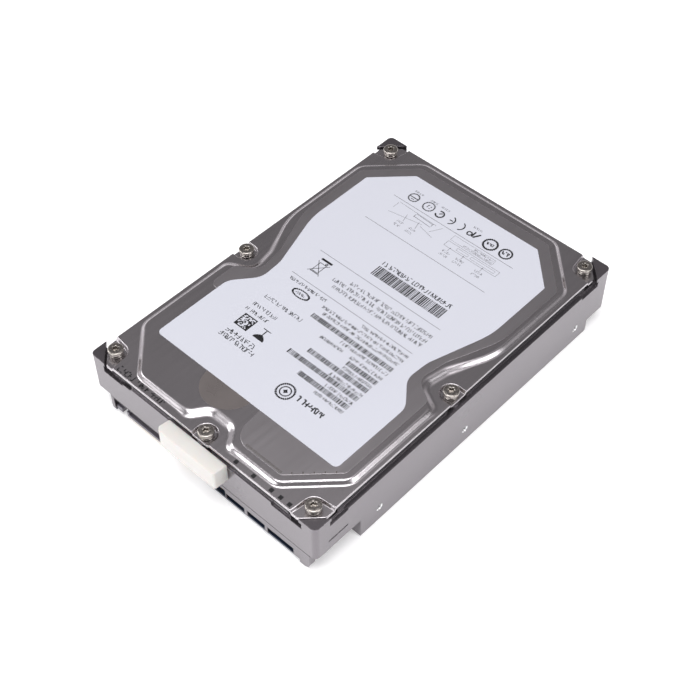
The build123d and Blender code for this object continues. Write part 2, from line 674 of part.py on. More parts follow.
def along_arm(shape):
    """Turn a shape drawn along +Y at the pivot to where the heads are parked."""
    return Pos(*PIVOT) * Rot(0, 0, park_angle()) * shape


def arm_block():
    z0, z1 = FLOOR_TOP + 0.7, arm_levels()[-1] + ARM_THICKNESS / 2
    reach = HEAD_REACH - 16
    shape = rod(BARREL_RADIUS, z0, z1)
    outline = plan([(-7.5, 0), (7.5, 0), (5.5, 12), (2.6, reach), (-2.6, reach), (-5.5, 12)])
    outline -= disc(2.0, (0, reach - 10)) + disc(1.4, (0, reach - 17))
    for z in arm_levels():
        shape += slab(outline, z - ARM_THICKNESS / 2, z + ARM_THICKNESS / 2)
    return along_arm(shape - rod(BEARING_RADIUS, z0 - 1, z1 + 1))


def head_sides():
    """Each disk face has one head: (arm height, +1 if the head is on the arm's upper face)."""
    levels = arm_levels()
    return [(z, side) for i in range(DISK_COUNT) for z, side in ((levels[i], 1), (levels[i + 1], -1))]


def head_suspensions():
    start, end = HEAD_REACH - 20, HEAD_REACH + 1.4
    outline = plan([(-2.4, start), (2.4, start), (2.2, start + 5), (0.9, end), (-0.9, end), (-2.2, start + 5)])
    shapes = []
    for z, side in head_sides():
        z0 = z + side * ARM_THICKNESS / 2
        shapes.append(along_arm(slab(outline, *sorted((z0, z0 + side * SUSPENSION_THICKNESS)))))
    return Compound(shapes)


def read_heads():
    half = HEAD_SIZE / 2
    shapes = []
    for z, side in head_sides():
        z0 = z + side * (ARM_THICKNESS / 2 + SUSPENSION_THICKNESS)
        low, high = sorted((z0, z0 + side * HEAD_THICKNESS))
        shapes.append(along_arm(block(-half, half, HEAD_REACH - half, HEAD_REACH + half, low, high)))
    return Compound(shapes)


def coil_shape(grow=0.0, middle=0.0):
    half = COIL_HALF_ANGLE
    trim = degrees(grow / COIL_R[1])
    return fan(COIL_R[0] - grow, COIL_R[1] + grow, middle - half - trim, middle + half + trim, *COIL_Z)


def voice_coil():
    middle = park_angle()
    core = fan(COIL_R[0] + 4, COIL_R[1] - 4, middle - 8, middle + 8, COIL_Z[0] - 1, COIL_Z[1] + 1)
    return coil_shape(0, middle) - core


def coil_overmold():
    """Plastic frame that holds the coil to the arm block."""
    middle = park_angle()
    z0, z1 = COIL_Z[0] + 0.2, COIL_Z[1] - 0.2
    half = COIL_HALF_ANGLE + 3.2
    shape = fan(BARREL_RADIUS - 1, COIL_R[1] + 1.5, middle - half, middle + half, z0, z1)
    shape -= Pos(*PIVOT) * rod(BARREL_RADIUS, z0 - 1, z1 + 1)
    return shape - coil_shape(0, middle)


def pivot_bearing():
    z0, z1 = FLOOR_TOP + 0.7, arm_levels()[-1] + ARM_THICKNESS / 2
    return ring(BEARING_RADIUS, PIVOT_SHAFT_RADIUS + RUNNING_FIT, z0, z1, PIVOT)


def pivot_shaft():
    return rod(PIVOT_SHAFT_RADIUS, FLOOR_TOP, PLATEAU_TOP - SHEET - 1.2, PIVOT)


def yoke(z0):
    return fan(*YOKE_R, *YOKE_ANGLES, z0, z0 + YOKE_THICKNESS)


def drive_magnet(z0):
    """Two arc magnets of opposite poles, side by side."""
    middle = sum(YOKE_ANGLES) / 2
    half = 33
    shapes = [fan(YOKE_R[0] + 2, YOKE_R[1] - 3, middle + a, middle + b, z0, z0 + MAGNET_THICKNESS)
              for a, b in ((-half, -0.4), (0.4, half))]
    return Compound(shapes)


def fan_place(radius, angle):
    return (PIVOT[0] + radius * sin(radians(angle)), PIVOT[1] - radius * cos(radians(angle)))


def yoke_posts():
    places = [fan_place(YOKE_R[1] - 4, YOKE_ANGLES[0] + 4.5), fan_place(YOKE_R[1] - 4, YOKE_ANGLES[1] - 4.5)]
    top = UPPER_MAGNET_Z + MAGNET_THICKNESS
    return Compound([rod(1.8, YOKE_LOW_TOP, top, at) for at in places])


def crash_stop():
    """Rubber bumper that the coil frame meets past the outer tracks."""
    return rod(1.3, YOKE_LOW_TOP, UPPER_MAGNET_Z + MAGNET_THICKNESS, fan_place(YOKE_R[0] + 4, YOKE_ANGLES[1] - 5))


LATCH_PIN = fan_place(LATCH_REACH, LATCH_ANGLE)


def latch_pin():
    return rod(LATCH_PIN_RADIUS, SATA_TOP + 2, COIL_Z[1] + 1.5, LATCH_PIN)


def actuator_latch():
    """Small lever that keeps the parked actuator from swinging when the drive is knocked."""
    z0, z1 = COIL_Z[0] + 0.4, COIL_Z[1] - 0.2
    tip = (5.4, 1.6)
    shape = rod(2.0, z0, z1) + slab(plan([(0, -1.6), (tip[0], tip[1] - 1.4), tip, (-0.6, 1.8)]), z0, z1)
    shape -= rod(LATCH_PIN_RADIUS + RUNNING_FIT, z0 - 1, z1 + 1)
    return Pos(*LATCH_PIN) * shape


FLEX_CENTRE = (FLEX_X, PIVOT[1] + 1.5)


def flex_cable():
    """Ribbon that carries the head signals, looped so that the actuator can swing."""
    loop = ring(FLEX_RADIUS, FLEX_RADIUS - 0.25, FLOOR_TOP + 3.8, FLOOR_TOP + 11.8, FLEX_CENTRE)
    x, y = FLEX_CENTRE
    return loop & block(x - FLEX_RADIUS - 1, x + FLEX_RADIUS + 1, y - FLEX_RADIUS - 1, y, 0, POST_TOP)


def flex_bracket():
    x0 = FLEX_CENTRE[0] + FLEX_RADIUS
    y = FLEX_CENTRE[1]
    shape = block(x0, HEAD_PLUG_X[1] + 4, HEAD_PLUG_Y[0] - 2, y, FLOOR_TOP, FLOOR_TOP + 1.6)
    return shape + block(x0, x0 + 1.6, y - 9, y, FLOOR_TOP, FLOOR_TOP + 12)


def breather_filter():
    under = PLATEAU_TOP - SHEET - 0.4
    return block(20, 34, 9.5, 20, under - 4.5, under)


def recirculation_filter():
    return block(HALF_WIDTH - 14, HALF_WIDTH - 9.5, 44, 53, FLOOR_TOP, FLOOR_TOP + 13)


def all_parts():
    parts = {
        "base_casting": base_casting(), "top_cover": top_cover(), "cover_gasket": cover_gasket(),
        "cover_damping_plate": cover_damping_plate(), "product_label": product_label(),
        "seal_patch": seal_patch(), "end_bumper_block": end_bumper_block(),
        "circuit_board": circuit_board(), "board_insulator": board_insulator(), "board_screws": board_screws(),
        "sata_connector_housing": sata_connector_housing(), "sata_contacts": sata_contacts(),
        "jumper_header": jumper_header(), "jumper_pins": jumper_pins(),
        "controller_chip": chip(-12, 44, 14, 14, 1.3), "memory_chip": chip(-30, 42, 8, 11, 1.1),
        "motor_driver_chip": chip(8, 62, 9, 9, 1.0), "board_passives": board_passives(),
        "head_connector": head_connector(), "breather_filter": breather_filter(),
        "recirculation_filter": recirculation_filter(), "motor_base": motor_base(),
        "spindle_shaft": spindle_shaft(), "stator_core": stator_core(), "stator_coils": stator_coils(),
        "lower_yoke": yoke(FLOOR_TOP), "lower_magnet": drive_magnet(YOKE_LOW_TOP),
        "upper_magnet": drive_magnet(UPPER_MAGNET_Z), "upper_yoke": yoke(UPPER_MAGNET_Z + MAGNET_THICKNESS),
        "yoke_posts": yoke_posts(), "crash_stop": crash_stop(), "pivot_shaft": pivot_shaft(),
        "flex_bracket": flex_bracket(), "flex_cable": flex_cable(), "latch_pin": latch_pin(),
        "spindle_hub": spindle_hub(), "bearing_sleeve": bearing_sleeve(), "rotor_magnet": rotor_magnet(),
        "disk_spacers": disk_spacers(), "disk_clamp": disk_clamp(), "clamp_screws": clamp_screws(),
        "arm_block": arm_block(), "head_suspensions": head_suspensions(), "read_heads": read_heads(),
        "voice_coil": voice_coil(), "coil_overmold": coil_overmold(), "pivot_bearing": pivot_bearing(),
        "actuator_latch": actuator_latch(),
    }
    for number in range(DISK_COUNT):
        parts[f"platter_{number + 1}"] = platter(number)
    for number, at in enumerate(COVER_SCREWS, 1):
        parts[f"cover_screw_{number}"] = cover_screw(at)
    return parts


def export():
    os.makedirs("parts", exist_ok=True)
    for name, shape in all_parts().items():
        export_step(Pos(0, -ORIGIN_Y, 0) * shape, f"parts/{name}.step")


export()
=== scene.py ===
import json
import math
import random
import bmesh
import bpy
from bpy.props import FloatProperty, FloatVectorProperty, IntProperty, PointerProperty
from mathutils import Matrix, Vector
from mathutils.geometry import delaunay_2d_cdt


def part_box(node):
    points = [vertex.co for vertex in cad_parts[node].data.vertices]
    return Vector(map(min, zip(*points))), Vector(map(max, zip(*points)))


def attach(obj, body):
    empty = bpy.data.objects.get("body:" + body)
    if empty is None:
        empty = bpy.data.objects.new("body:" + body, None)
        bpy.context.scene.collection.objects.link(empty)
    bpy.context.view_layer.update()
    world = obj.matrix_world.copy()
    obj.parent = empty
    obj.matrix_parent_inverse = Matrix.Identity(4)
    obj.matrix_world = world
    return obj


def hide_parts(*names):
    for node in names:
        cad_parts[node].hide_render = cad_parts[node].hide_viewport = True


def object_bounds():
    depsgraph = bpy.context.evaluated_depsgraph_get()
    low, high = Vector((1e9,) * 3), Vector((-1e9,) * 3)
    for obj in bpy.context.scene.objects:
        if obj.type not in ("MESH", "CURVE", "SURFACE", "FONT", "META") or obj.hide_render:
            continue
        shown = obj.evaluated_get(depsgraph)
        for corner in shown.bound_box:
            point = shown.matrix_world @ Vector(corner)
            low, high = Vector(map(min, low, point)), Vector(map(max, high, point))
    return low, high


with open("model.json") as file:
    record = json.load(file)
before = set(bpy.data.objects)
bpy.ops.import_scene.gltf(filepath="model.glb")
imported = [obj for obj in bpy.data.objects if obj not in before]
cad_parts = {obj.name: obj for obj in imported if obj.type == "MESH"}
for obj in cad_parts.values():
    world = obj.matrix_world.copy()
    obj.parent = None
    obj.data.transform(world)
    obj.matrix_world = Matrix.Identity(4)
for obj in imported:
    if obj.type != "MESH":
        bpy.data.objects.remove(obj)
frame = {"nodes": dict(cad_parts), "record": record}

bl_info = {
    "name": "Desktop hard disk drive",
    "version": (1, 0, 0),
    "blender": (4, 5, 0),
    "location": "3D View > Sidebar > Drive",
    "description": "Pressed cover, label, screws, board details and finishes of a desktop hard disk drive",
    "category": "Object",
}

# Shapes are drawn in millimetres: x across the drive from its centreline, y from the face of the
# connector end and z up from the mounting face. new_piece() takes them to the frame's metres.
MM = 0.001
CAD_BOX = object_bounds()
CASTING = [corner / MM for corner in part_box("base_casting")]
COVER = [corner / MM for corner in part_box("top_cover")]
BOARD = [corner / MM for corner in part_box("circuit_board")]
BLOCK = [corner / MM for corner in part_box("end_bumper_block")]
END_Y = CASTING[0].y
HALF_WIDTH = CASTING[1].x
LENGTH = CASTING[1].y - END_Y
COVER_HALF = COVER[1].x
COVER_START = COVER[0].y - END_Y
COVER_END = COVER[1].y - END_Y
PLATEAU_TOP = COVER[1].z


def centre(node):
    low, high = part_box(node)
    return Vector(((low.x + high.x) / 2 / MM, (low.y + high.y) / 2 / MM - END_Y))


SCREWS = [centre(f"cover_screw_{number}") for number in range(1, 8)]
SCREW_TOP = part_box("cover_screw_1")[1].z / MM
SCREW_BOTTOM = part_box("cover_screw_1")[0].z / MM


# ---------------------------------------------------------------- settings

def length(name, text, millimetres):
    return FloatProperty(
        name=name, description=text, default=millimetres * MM, min=0.0, unit="LENGTH", precision=5)


def angle(name, text, degrees):
    return FloatProperty(name=name, description=text, default=math.radians(degrees), subtype="ANGLE")


def colour(name, text, rgb):
    return FloatVectorProperty(
        name=name, description=text, default=rgb, size=3, min=0.0, max=1.0, subtype="COLOR")


class CoverSettings(bpy.types.PropertyGroup):
    sheet: length("Sheet", "Thickness of the pressed sheet", 0.9)
    step_height: length("Step height", "How far the middle stands above the flange", 1.2)
    step_width: length("Step width", "Width of the sloping step", 2.4)
    notch_extra: length("Extra width", "How much wider the step is beside a screw", 1.3)
    pad_depth: length("Pad depth", "How far each screw pad is sunk", 1.05)
    pad_radius: length("Pad radius", "Radius of a screw pad", 3.6)
    pad_slope: length("Pad slope", "Width of the slope round a screw pad", 0.9)
    edge_round: length("Edge round", "Rounding of the outer edge", 0.28)
    colour: colour("Steel", "Colour of the sheet", (0.52, 0.495, 0.515))


class ScrewSettings(bpy.types.PropertyGroup):
    head_radius: length("Head radius", "Radius of the flat head", 2.7)
    collar_radius: length("Collar radius", "Radius of the rings under the head", 2.38)
    neck_radius: length("Neck radius", "Radius between the rings", 2.0)
    shank_radius: length("Shank radius", "Radius of the shank", 1.18)
    recess_radius: length("Recess radius", "Mean radius of the star recess", 1.02)
    sides: IntProperty(name="Sides", description="Points round each ring", default=60, min=24)


class LabelSettings(bpy.types.PropertyGroup):
    thickness: length("Thickness", "Thickness of the label", 0.12)
    ink_height: length("Ink height", "How far the print stands off the label", 0.012)
    paper: colour("Paper", "Colour of the label", (0.585, 0.597, 0.66))
    ink: colour("Ink", "Colour of the print", (0.006, 0.006, 0.008))
    seed: IntProperty(name="Seed", description="Seed of the made-up characters and codes", default=7)


class BodySettings(bpy.types.PropertyGroup):
    casting: colour("Casting", "Colour of the coated casting", (0.19, 0.175, 0.19))
    block: colour("End block", "Colour of the white block", (0.68, 0.665, 0.635))
    block_bevel: length("Block edge", "Rounding of the white block's edges", 0.35)
    board: colour("Board", "Colour of the solder mask", (0.008, 0.014, 0.03))
    thread_pitch: length("Thread pitch", "Spacing of the thread ridges in the mounting holes", 0.79)


class StageSettings(bpy.types.PropertyGroup):
    floor: colour("Floor", "Colour of the floor", (0.93, 0.93, 0.935))
    azimuth: angle("Azimuth", "Direction of the camera, from the connector end", 42.914)
    elevation: angle("Elevation", "Height of the camera above the horizon", 49.328)
    distance: length("Distance", "From the camera to the point it looks at", 448.5)
    lens: FloatProperty(name="Lens", description="Focal length in millimetres", default=68.45, min=1.0)


# ---------------------------------------------------------------- meshes

def to_frame(point):
    x, y, z = point
    return (x * MM, (y + END_Y) * MM, z * MM)


def new_object(name, mesh):
    obj = bpy.data.objects.new(name, mesh)
    bpy.context.scene.collection.objects.link(obj)
    return obj


def new_piece(name, verts, faces, material, smooth=40.0):
    """A closed mesh from points in millimetres, with outward faces and one material."""
    bm = bmesh.new()
    points = [bm.verts.new(to_frame(v)) for v in verts]
    for face in faces:
        bm.faces.new([points[i] for i in face])
    bmesh.ops.recalc_face_normals(bm, faces=bm.faces)
    mesh = bpy.data.meshes.new(name)
    bm.to_mesh(mesh)
    bm.free()
    finish_mesh(mesh, material, smooth)
    return new_object(name, mesh)


def finish_mesh(mesh, material, smooth=40.0):
    mesh.materials.clear()
    mesh.materials.append(material)
    mesh.shade_smooth()
    mesh.set_sharp_from_angle(angle=math.radians(smooth))


def bevelled(obj, width):
    """Rounds the sharp edges of a finished piece for good."""
    bevel = obj.modifiers.new("edges", "BEVEL")
    bevel.width, bevel.segments = width * MM, 3
    bevel.limit_method, bevel.angle_limit = "ANGLE", math.radians(35)
    return settled(obj)


def settled(obj):
    """Turns what the modifiers make into the object's own mesh."""
    graph = bpy.context.evaluated_depsgraph_get()
    made = obj.evaluated_get(graph)
    mesh = bpy.data.meshes.new_from_object(made, preserve_all_data_layers=True, depsgraph=graph)
    old = obj.data
    obj.modifiers.clear()
    obj.data = mesh
    mesh.name = obj.name
    if old.users == 0:
        bpy.data.meshes.remove(old)
    return obj


def rounded_path(corners, spacing=1.6):
    """A closed counter-clockwise outline from (x, y, radius) corners, as (point, inward normal) pairs."""
    samples = []
    count = len(corners)
    for i, (x, y, radius) in enumerate(corners):
        here = Vector((x, y))
        back = (Vector(corners[i - 1][:2]) - here).normalized()
        ahead = (Vector(corners[(i + 1) % count][:2]) - here).normalized()
        half = back.angle(ahead) / 2
        turn = 1 if (-back).cross(ahead) > 0 else -1
        reach = radius / math.tan(half)
        middle = here + (back + ahead).normalized() * (radius / math.sin(half))
        sweep = math.pi - 2 * half
        first = (here + back * reach) - middle
        steps = max(4, math.ceil(sweep * (radius + 1.5) / (spacing * 0.45)))
        for k in range(steps + 1):
            a = turn * sweep * k / steps
            c, s = math.cos(a), math.sin(a)
            arm = Vector((first.x * c - first.y * s, first.x * s + first.y * c))
            samples.append((middle + arm, -turn * arm.normalized()))
    filled = []
    for (p, n), (q, m) in zip(samples, samples[1:] + samples[:1]):
        filled.append((p, n))
        steps = int((q - p).length / spacing)
        for k in range(1, steps + 1):
            share = k / (steps + 1)
            filled.append((p.lerp(q, share), n.lerp(m, share).normalized()))
    return filled


def both_sides(half_corners):
    """Adds the mirror image of the right-hand corners, which run from the front to the back."""
    return half_corners + [(-x, y, r) for x, y, r in reversed(half_corners)]


def inset(path, distance):
    """The outline's points moved inwards."""
    return [p + n * distance for p, n in path]


def quads(first, second, count):
    """Faces between two closed rings of points, given the number of each ring's first point."""
    steps = [(i, (i + 1) % count) for i in range(count)]
    return [(first + i, first + j, second + j, second + i) for i, j in steps]


def plate(name, path, z0, z1, edge, material):
    """A flat sheet with a softened upper edge."""
    rings = [(0, z0), (0, z1 - edge), (edge * 0.3, z1 - edge * 0.3), (edge, z1)]
    verts, faces = [], []
    count = len(path)
    for distance, z in rings:
        verts += [(p.x, p.y, z) for p in inset(path, distance)]
    for k in range(len(rings) - 1):
        faces += quads(k * count, (k + 1) * count, count)
    border = inset(path, edge)
    _, _, triangles, origins, _, _ = delaunay_2d_cdt(border, [], [list(range(count))], 1, 1e-6)
    last = (len(rings) - 1) * count
    for triangle in triangles:
        corners = [origins[i][0] for i in triangle]
        faces.append(tuple(reversed(corners)))
        faces.append(tuple(last + i for i in corners))
    return new_piece(name, verts, faces, material, smooth=15.0)


def lathe(rings, sides):
    """Points and faces of a turned shape about z. A ring is (radius, z) or (radius, z, lobe depth)."""
    verts, faces = [], []
    for ring in rings:
        radius, z = ring[:2]
        lobes = ring[2] if len(ring) > 2 else 0.0
        for k in range(sides):
            a = 2 * math.pi * k / sides
            r = radius + lobes * math.cos(6 * a)
            verts.append((r * math.cos(a), r * math.sin(a), z))
    for k in range(len(rings) - 1):
        faces += quads(k * sides, (k + 1) * sides, sides)
    for ring_index in (0, len(rings) - 1):
        start = ring_index * sides
        verts.append((0.0, 0.0, rings[ring_index][1]))
        faces += [(start + i, start + (i + 1) % sides, len(verts) - 1) for i in range(sides)]
    return verts, faces


# ---------------------------------------------------------------- geometry nodes

class Tree:
    """A geometry node tree with a geometry input and output and named inputs."""

    def __init__(self, name, inputs):
        self.group = bpy.data.node_groups.new(name, "GeometryNodeTree")
        self.group.is_modifier = True
        face = self.group.interface
        face.new_socket("Geometry", in_out="INPUT", socket_type="NodeSocketGeometry")
        self.keys = {}
        for label, kind in inputs:
            self.keys[label] = face.new_socket(label, in_out="INPUT", socket_type=kind).identifier
        face.new_socket("Geometry", in_out="OUTPUT", socket_type="NodeSocketGeometry")
        self.start = self.node("NodeGroupInput")
        self.end = self.node("NodeGroupOutput")

    def node(self, kind, **settings):
        node = self.group.nodes.new(kind)
        for key, value in settings.items():
            setattr(node, key, value)
        return node

    def link(self, source, target):
        self.group.links.new(source, target)

    def attribute(self, name, kind):
        node = self.node("GeometryNodeInputNamedAttribute", data_type=kind)
        node.inputs["Name"].default_value = name
        return node.outputs["Attribute"]

    def close(self, geometry, material):
        """Ends the tree: real geometry with its material."""
        real = self.node("GeometryNodeRealizeInstances")
        paint = self.node("GeometryNodeSetMaterial")
        self.link(geometry, real.inputs["Geometry"])
        self.link(real.outputs["Geometry"], paint.inputs["Geometry"])
        self.link(material, paint.inputs["Material"])
        self.link(paint.outputs["Geometry"], self.end.inputs["Geometry"])

    def apply(self, obj, values):
        """Runs the tree on an object and keeps the result as its mesh."""
        modifier = obj.modifiers.new(self.group.name, "NODES")
        modifier.node_group = self.group
        for label, value in values.items():
            modifier[self.keys[label]] = value
        obj.update_tag()
        bpy.context.view_layer.update()
        return settled(obj)


def marks_tree():
    """Small boxes on points. Each point carries its box's size and turn."""
    tree = Tree("printed marks", [("Height", "NodeSocketFloat"), ("Ink", "NodeSocketMaterial")])
    cube = tree.node("GeometryNodeMeshCube")
    place = tree.node("GeometryNodeInstanceOnPoints")
    scale = tree.node("ShaderNodeVectorMath", operation="MULTIPLY")
    height = tree.node("ShaderNodeCombineXYZ")
    turn = tree.node("ShaderNodeCombineXYZ")
    euler = tree.node("FunctionNodeEulerToRotation")
    height.inputs["X"].default_value = height.inputs["Y"].default_value = 1
    tree.link(tree.start.outputs["Height"], height.inputs["Z"])
    tree.link(tree.attribute("size", "FLOAT_VECTOR"), scale.inputs[0])
    tree.link(height.outputs[0], scale.inputs[1])
    tree.link(tree.attribute("turn", "FLOAT"), turn.inputs["Z"])
    tree.link(turn.outputs[0], euler.inputs[0])
    tree.link(tree.start.outputs["Geometry"], place.inputs["Points"])
    tree.link(cube.outputs["Mesh"], place.inputs["Instance"])
    tree.link(scale.outputs[0], place.inputs["Scale"])
    tree.link(euler.outputs[0], place.inputs["Rotation"])
    tree.close(place.outputs["Instances"], tree.start.outputs["Ink"])
    return tree


def copies_tree():
    """One shape on every point, such as a screw in each hole."""
    tree = Tree("copies on points", [("Shape", "NodeSocketObject"), ("Finish", "NodeSocketMaterial")])
    shape = tree.node("GeometryNodeObjectInfo")
    place = tree.node("GeometryNodeInstanceOnPoints")
    euler = tree.node("FunctionNodeEulerToRotation")
    tree.link(tree.start.outputs["Shape"], shape.inputs["Object"])
    tree.link(tree.start.outputs["Geometry"], place.inputs["Points"])
    tree.link(shape.outputs["Geometry"], place.inputs["Instance"])
    tree.link(tree.attribute("turn", "FLOAT_VECTOR"), euler.inputs[0])
    tree.link(euler.outputs[0], place.inputs["Rotation"])
    tree.close(place.outputs["Instances"], tree.start.outputs["Finish"])
    return tree


def points_mesh(name, points, attributes):
    """Loose points with named values, for a tree to put shapes on."""
    mesh = bpy.data.meshes.new(name)
    mesh.from_pydata([to_frame(p) for p in points], [], [])
    for label, (kind, values) in attributes.items():
        layer = mesh.attributes.new(label, kind, "POINT")
        layer.data.foreach_set("vector" if kind == "FLOAT_VECTOR" else "value", values)
    return new_object(name, mesh)


def print_marks(name, marks, z, height, material):
    """Boxes from (x, y, width, depth, turn) marks, standing on the height z."""
    sizes = [v for x, y, w, d, turn in marks for v in (w * MM, d * MM, MM)]
    obj = points_mesh(name, [(x, y, z + height / 2) for x, y, w, d, turn in marks],
                      {"size": ("FLOAT_VECTOR", sizes), "turn": ("FLOAT", [m[4] for m in marks])})
    marks_tree().apply(obj, {"Height": height, "Ink": material})
    finish_mesh(obj.data, material)
    return obj


def copies(name, verts, faces, places, material, smooth=40.0):
    """Copies of one small shape drawn about the origin. A place is (x, y, z, turn about each axis)."""
    pattern = new_piece(name + "_pattern", [(x, y - END_Y, z) for x, y, z in verts], faces, material, smooth)
    turns = [v for place in places for v in place[3]]
    obj = points_mesh(name, [place[:3] for place in places], {"turn": ("FLOAT_VECTOR", turns)})
    copies_tree().apply(obj, {"Shape": pattern, "Finish": material})
    finish_mesh(obj.data, material, smooth)
    mesh = pattern.data
    bpy.data.objects.remove(pattern)
    bpy.data.meshes.remove(mesh)
    return obj


# ---------------------------------------------------------------- materials

class Finish:
    """A Principled material with helpers for layered procedural detail."""

    def __init__(self, name, metallic=0.0, **sockets):
        self.material = bpy.data.materials.new(name)
        self.material.use_nodes = True
        self.tree = self.material.node_tree
        self.shader = self.tree.nodes["Principled BSDF"]
        self.shader.inputs["Metallic"].default_value = metallic
        for key, value in sockets.items():
            self.shader.inputs[key.replace("_", " ")].default_value = value
        self.place = self.node("ShaderNodeTexCoord").outputs["Object"]
        self.normal = None

    def node(self, kind, **settings):
        node = self.tree.nodes.new(kind)
        for key, value in settings.items():
            setattr(node, key, value)
        return node

    def link(self, source, target):
        self.tree.links.new(source, target)

    def stretched(self, stretch):
        mapping = self.node("ShaderNodeMapping")
        mapping.inputs["Scale"].default_value = stretch
        self.link(self.place, mapping.inputs["Vector"])
        return mapping.outputs["Vector"]

    def noise(self, scale, detail=4.0, stretch=(1, 1, 1), roughness=0.55):
        node = self.node("ShaderNodeTexNoise")
        node.inputs["Scale"].default_value = scale
        node.inputs["Detail"].default_value = detail
        node.inputs["Roughness"].default_value = roughness
        self.link(self.stretched(stretch), node.inputs["Vector"])
        return node.outputs["Fac"]

    def cells(self, scale, stretch=(1, 1, 1)):
        node = self.node("ShaderNodeTexVoronoi")
        node.inputs["Scale"].default_value = scale
        self.link(self.stretched(stretch), node.inputs["Vector"])
        return node.outputs["Distance"]

    def waves(self, scale, stretch=(1, 1, 1), kind="BANDS", direction="X", distortion=0.0):
        node = self.node("ShaderNodeTexWave", wave_type=kind)
        if kind == "BANDS":
            node.bands_direction = direction
        else:
            node.rings_direction = direction
        node.inputs["Scale"].default_value = scale
        node.inputs["Distortion"].default_value = distortion
        self.link(self.stretched(stretch), node.inputs["Vector"])
        return node.outputs["Fac"]

    def spread(self, value, low, high, start=0.0, end=1.0):
        """Maps start..end of a value to low..high."""
        node = self.node("ShaderNodeMapRange")
        for label, number in (("From Min", start), ("From Max", end), ("To Min", low), ("To Max", high)):
            node.inputs[label].default_value = number
        self.link(value, node.inputs["Value"])
        return node.outputs["Result"]

    def mixed(self, factor, first, second):
        """Blends two colours, each an rgb value or another node's output."""
        node = self.node("ShaderNodeMix", data_type="RGBA")
        self.link(factor, node.inputs[0])
        for socket, value in ((node.inputs[6], first), (node.inputs[7], second)):
            if hasattr(value, "is_output"):
                self.link(value, socket)
            else:
                socket.default_value = (*value, 1.0)
        return node.outputs[2]

    def paint(self, value):
        self.link(value, self.shader.inputs["Base Color"])

    def polish(self, value):
        self.link(value, self.shader.inputs["Roughness"])

    def bump(self, value, strength, distance):
        node = self.node("ShaderNodeBump")
        node.inputs["Strength"].default_value = strength
        node.inputs["Distance"].default_value = distance * MM
        self.link(value, node.inputs["Height"])
        if self.normal is not None:
            self.link(self.normal, node.inputs["Normal"])
        self.normal = node.outputs["Normal"]
        self.link(self.normal, self.shader.inputs["Normal"])

    def soft_edges(self, radius):
        """Rounds the light on sharp edges, as a cast or moulded edge is."""
        node = self.node("ShaderNodeBevel", samples=6)
        node.inputs["Radius"].default_value = radius * MM
        self.normal = node.outputs["Normal"]
        self.link(self.normal, self.shader.inputs["Normal"])


def shade(rgb, factor):
    """The same colour, darker below 1 and lighter above."""
    return tuple(min(1.0, c * factor) for c in rgb)


def layered(name, rgb, metallic, rough, grain=300.0, vary=0.12, bump=0.02, stretch=(1, 1, 1), edge=0.0,
            **sockets):
    """Colour that wanders at two sizes, uneven polish and a fine grain."""
    f = Finish(name, metallic, **sockets)
    if edge:
        f.soft_edges(edge)
    broad = f.noise(grain * 0.2, 3.0)
    close = f.noise(grain, 5.0, stretch)
    wide = f.mixed(broad, shade(rgb, 1 - vary), shade(rgb, 1 + vary))
    f.paint(f.mixed(f.spread(close, 0.0, 0.5), wide, shade(rgb, 1 - vary * 1.5)))
    f.polish(f.spread(close, rough * 0.8, rough * 1.25, 0.3, 0.7))
    f.bump(f.noise(2500.0, 2.0, stretch), 0.35, bump)
    return f


def cover_finish(rgb):
    """Cold-rolled stainless sheet: faint rolling lines along the drive and a few handling scuffs."""
    f = Finish("cover rolled steel", 1.0)
    rolling = f.noise(900, 3.0, (1.0, 0.02, 1.0))
    cloud = f.noise(28, 3.0)
    scuffs = f.spread(f.noise(160, 6.0, (1.0, 0.35, 1.0), 0.7), 0.0, 1.0, 0.62, 0.8)
    base = f.mixed(f.spread(cloud, 0.0, 1.0, 0.3, 0.7), shade(rgb, 0.93), shade(rgb, 1.07))
    lined = f.mixed(f.spread(rolling, 0.0, 0.2, 0.35, 0.65), base, shade(rgb, 0.93))
    f.paint(f.mixed(f.spread(scuffs, 0.0, 0.2), lined, shade(rgb, 1.3)))
    f.polish(f.spread(rolling, 0.23, 0.27, 0.3, 0.7))
    f.bump(rolling, 0.03, 0.001)
    f.bump(f.noise(3000, 2.0), 0.02, 0.001)
    return f.material


def bonded_plate_finish(rgb):
    """Thin satin sheet glued to the cover, a little duller and greyer than the sheet under it."""
    f = Finish("bonded plate steel", 1.0)
    rolling = f.noise(800, 3.0, (1.0, 0.03, 1.0))
    cloud = f.noise(40, 3.0)
    dust = f.spread(f.cells(260), 1.0, 0.0, 0.02, 0.09)
    base = f.mixed(f.spread(cloud, 0.0, 1.0, 0.3, 0.7), shade(rgb, 0.95), shade(rgb, 1.05))
    lined = f.mixed(f.spread(rolling, 0.0, 0.2, 0.35, 0.65), base, shade(rgb, 0.93))
    f.paint(f.mixed(f.spread(dust, 0.0, 0.06), lined, shade(rgb, 1.3)))
    f.polish(f.spread(rolling, 0.29, 0.33, 0.3, 0.7))
    f.bump(rolling, 0.015, 0.001)
    f.bump(f.noise(3000, 2.0), 0.01, 0.001)
    return f.material


